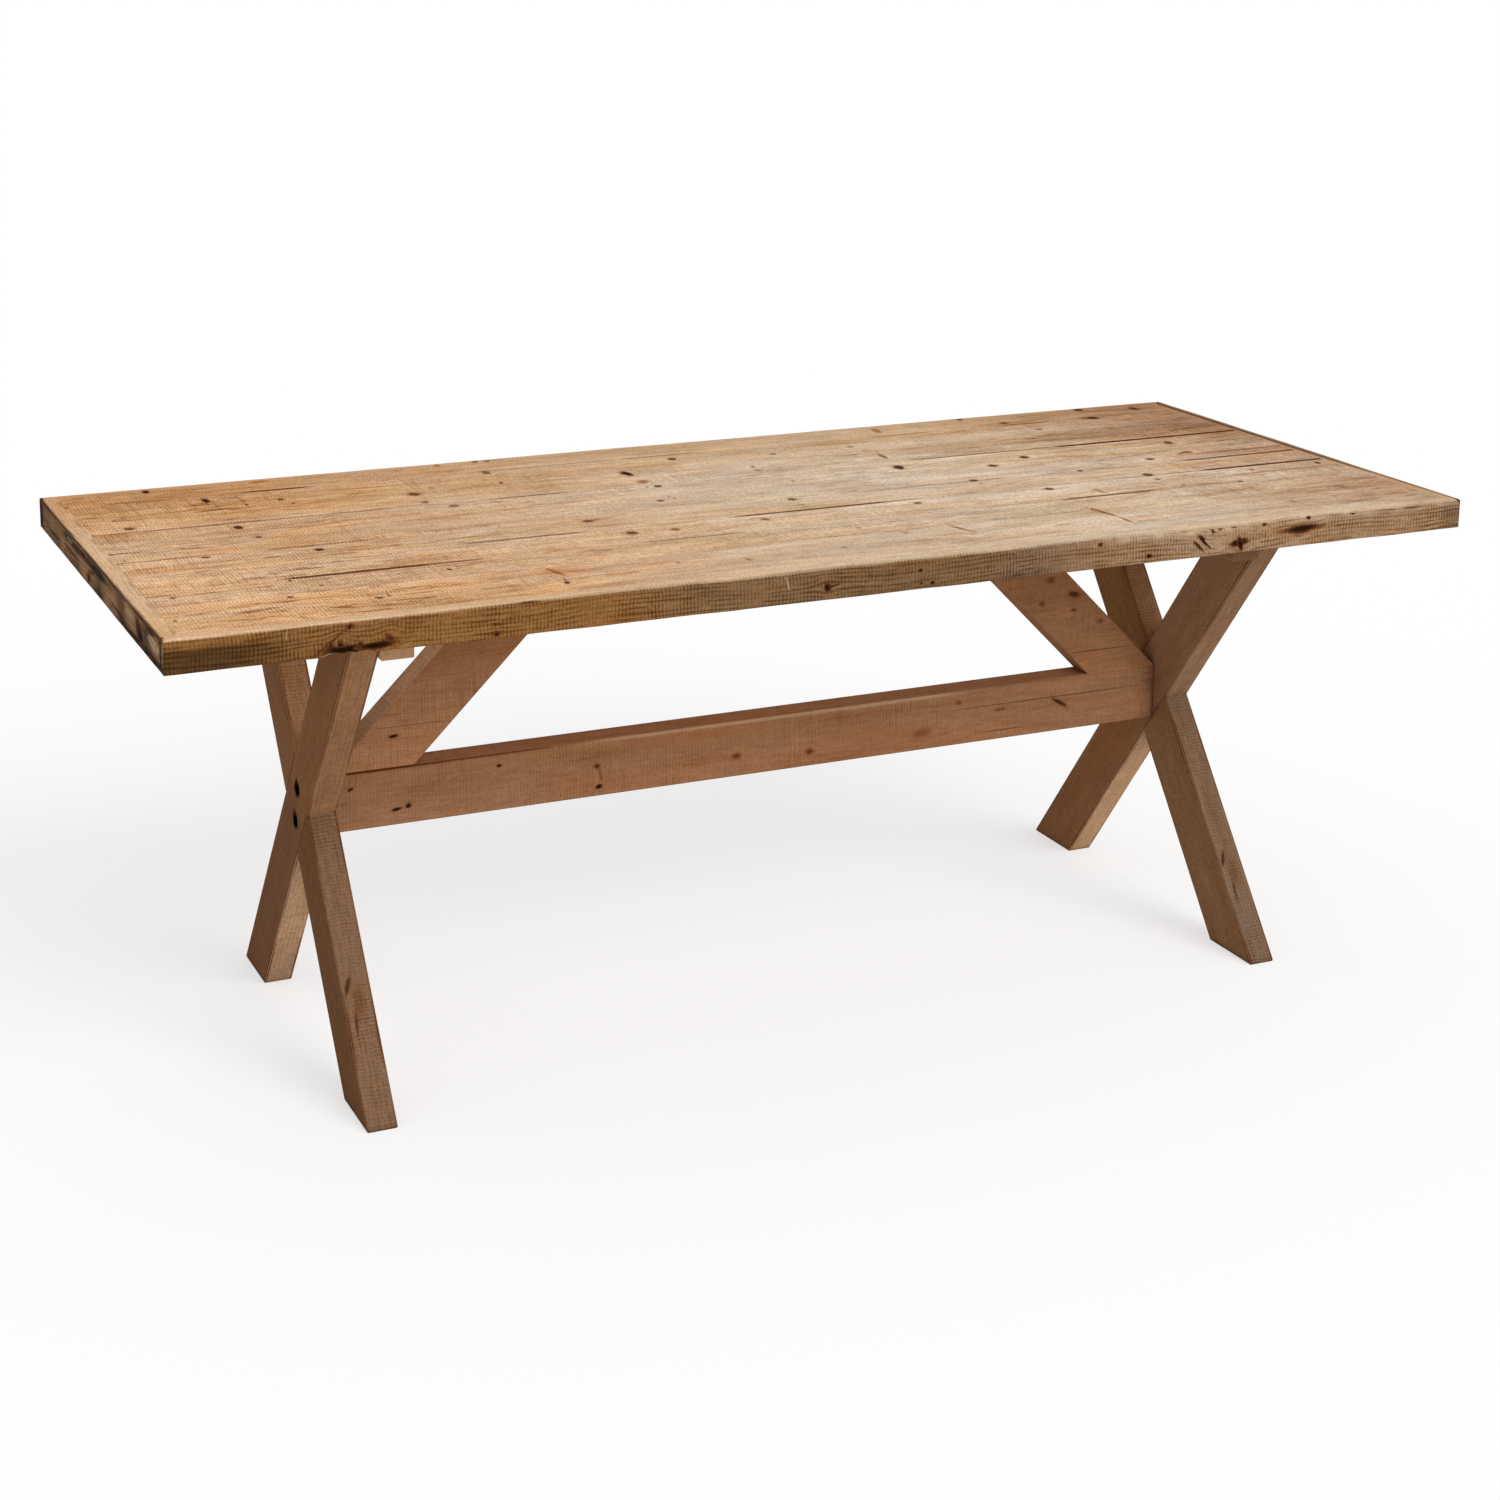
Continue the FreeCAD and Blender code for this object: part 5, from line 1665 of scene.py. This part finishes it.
class SAWBUCK_OT_fixings(Operator):
    """Drive the screws, bolts and dowels"""

    bl_idname = "sawbuck.fixings"
    bl_label = "Screws, bolts and dowels"

    def execute(self, context):
        size = context.scene.sawbuck_fixings
        zinc = steel("zinc_plate", linear(182, 178, 168), 0.42, 0.9, 0.1)
        black = steel("black_coat", linear(40, 37, 35), 0.5, 0.35, 0.35)
        screw_labels = ("Head", "Shank", "Length")
        hexagon_labels = ("Head", "Height", "Washer", "Shank", "Length")
        screw = fixing_tree("screws", screw_labels, screw_shape)
        hexagon = fixing_tree("hexagon_heads", hexagon_labels, hexagon_shape)
        batten = (size.screw_head, size.screw_shank, size.screw_length)
        cleat = (size.cleat_head, size.cleat_shank, size.cleat_length)
        heads = (size.hex_flats, size.hex_height, size.washer, size.hex_shank)
        for name, node, seats, sizes in (
            ("screws_batten", "batten_screws", batten_seats(), batten),
            ("screws_cleat", "cleat_screws", cleat_seats(), cleat),
            ("screws_brace", "brace_screws", brace_seats(), cleat),
        ):
            sizes = dict(zip(screw_labels, sizes))
            fixings(name, node, seats, screw, sizes, zinc, "screw_steel")
        for name, node, seats, length in (
            ("screws_lag", "lag_screws", lag_seats(), size.lag_length),
            ("bolts", "stretcher_bolts", bolt_seats(), size.bolt_length),
        ):
            sizes = dict(zip(hexagon_labels, (*heads, length)))
            fixings(name, node, seats, hexagon, sizes, black, "black_steel")
        beech = dowel_beech("dowel_beech")
        finishes = {"lag_washers": black, "bolt_washers": black, "barrel_nuts": zinc}
        finishes |= {"brace_dowels": beech, "frame_dowels": beech}
        for node, material in finishes.items():
            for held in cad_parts[node].material_slots:
                held.material = material
        return {"FINISHED"}


# ---- Stage ----


class SAWBUCK_OT_stage(Operator):
    """Set the floor, lamps, sky and camera"""

    bl_idname = "sawbuck.stage"
    bl_label = "Stage"

    def execute(self, context):
        stage = context.scene.sawbuck_stage
        context.scene.view_settings.view_transform = "Standard"
        set_floor(stage)
        set_sky(stage)
        set_sun(stage)
        set_camera()
        return {"FINISHED"}


def background_ray(graph):
    """1 for rays that should see a white background: camera, gloss and glass."""
    node = graph.node("ShaderNodeLightPath")
    names = ("Camera", "Glossy", "Transmission")
    camera, glossy, glass = (Value(graph, node.outputs[f"Is {name} Ray"]) for name in names)
    total = camera + glossy + glass
    return total.math("MINIMUM", total, 1.0)


def set_floor(stage):
    """Pale floor that takes a light shadow."""
    half = stage.floor_size / 2
    mesh = bpy.data.meshes.new("floor")
    corners = [(-half, -half, 0), (half, -half, 0), (half, half, 0), (-half, half, 0)]
    mesh.from_pydata(corners, [], [(0, 1, 2, 3)])
    material, graph = new_material("floor_white")
    seen = graph.add("ShaderNodeBsdfDiffuse", {"Color": WHITE})
    glow = graph.add("ShaderNodeEmission", {"Color": WHITE, "Strength": 1.0})
    bright = graph.add("ShaderNodeMixShader", {0: FLOOR_GLOW, 1: seen, 2: glow})
    plain = graph.add("ShaderNodeBsdfDiffuse", {"Color": FLOOR_GREY})
    both = graph.add("ShaderNodeMixShader", {0: background_ray(graph), 1: plain, 2: bright})
    graph.node("ShaderNodeOutputMaterial", {"Surface": both})
    mesh.materials.append(material)
    floor = put_in_scene("floor", mesh)


def set_sky(stage):
    """Even white light, seen as plain white behind everything."""
    world = bpy.data.worlds.new("sky")
    bpy.context.scene.world = world
    world.use_nodes = True
    graph = Graph(world.node_tree)
    light = graph.add("ShaderNodeBackground", {"Color": WHITE, "Strength": stage.sky})
    seen = graph.add("ShaderNodeBackground", {"Color": WHITE, "Strength": 1.0})
    both = graph.add("ShaderNodeMixShader", {0: background_ray(graph), 1: light, 2: seen})
    graph.node("ShaderNodeOutputWorld", {"Surface": both})


def set_sun(stage):
    """One broad soft sun from the front right."""
    lamp = bpy.data.lights.new("key", "SUN")
    lamp.energy = stage.key
    lamp.angle = math.radians(SUN_SPREAD)
    sun = put_in_scene("key", lamp)
    sun.rotation_mode = "QUATERNION"
    sun.rotation_quaternion = Vector(SUN_SIDE).to_track_quat("Z", "Y")


def set_camera():
    """Camera at the standing viewer's place, front left."""
    data = bpy.data.cameras.new("camera")
    data.sensor_width = CAMERA_SENSOR
    data.lens = CAMERA_LENS
    data.shift_x, data.shift_y = CAMERA_SHIFT
    data.clip_start, data.clip_end = CAMERA_CLIP
    camera = put_in_scene("camera", data)
    turn = Matrix.Rotation(math.radians(-CAMERA_HEADING), 4, "Z")
    dip = Matrix.Rotation(math.radians(90 - CAMERA_DIP), 4, "X")
    roll = Matrix.Rotation(math.radians(CAMERA_ROLL), 4, "Z")
    camera.matrix_world = Matrix.Translation(CAMERA_PLACE) @ turn @ dip @ roll
    bpy.context.scene.camera = camera


# ---- Add-on ----


class SAWBUCK_PT_panel(Panel):
    """Sidebar panel with a button for each group of pieces"""

    bl_label = "Sawbuck table"
    bl_space_type = "VIEW_3D"
    bl_region_type = "UI"
    bl_category = "Sawbuck"

    def draw(self, context):
        for operator in OPERATORS:
            self.layout.operator(operator.bl_idname)
        for name in SETTINGS:
            group = getattr(context.scene, name)
            box = self.layout.box()
            for key in group.bl_rna.properties.keys():
                if key not in ("rna_type", "name"):
                    box.prop(group, key)


SETTINGS = {
    "sawbuck_top": TopSettings,
    "sawbuck_trestle": TrestleSettings,
    "sawbuck_fixings": FixingSettings,
    "sawbuck_stage": StageSettings,
}
OPERATORS = (
    SAWBUCK_OT_planks,
    SAWBUCK_OT_frame_boards,
    SAWBUCK_OT_trestles,
    SAWBUCK_OT_rails,
    SAWBUCK_OT_underside,
    SAWBUCK_OT_fixings,
    SAWBUCK_OT_stage,
)


def register():
    """Add the settings, operators and panel to Blender."""
    for cls in (*SETTINGS.values(), *OPERATORS, SAWBUCK_PT_panel):
        bpy.utils.register_class(cls)
    for name, cls in SETTINGS.items():
        setattr(bpy.types.Scene, name, PointerProperty(type=cls))


def unregister():
    """Take them out again."""
    for name in SETTINGS:
        delattr(bpy.types.Scene, name)
    for cls in (SAWBUCK_PT_panel, *reversed(OPERATORS), *SETTINGS.values()):
        bpy.utils.unregister_class(cls)


def main():
    """Build the whole table."""
    register()
    bpy.ops.sawbuck.planks()
    bpy.ops.sawbuck.frame_boards()
    bpy.ops.sawbuck.trestles()
    bpy.ops.sawbuck.rails()
    bpy.ops.sawbuck.underside()
    bpy.ops.sawbuck.fixings()
    bpy.ops.sawbuck.stage()


if __name__ == "__main__":
    main()
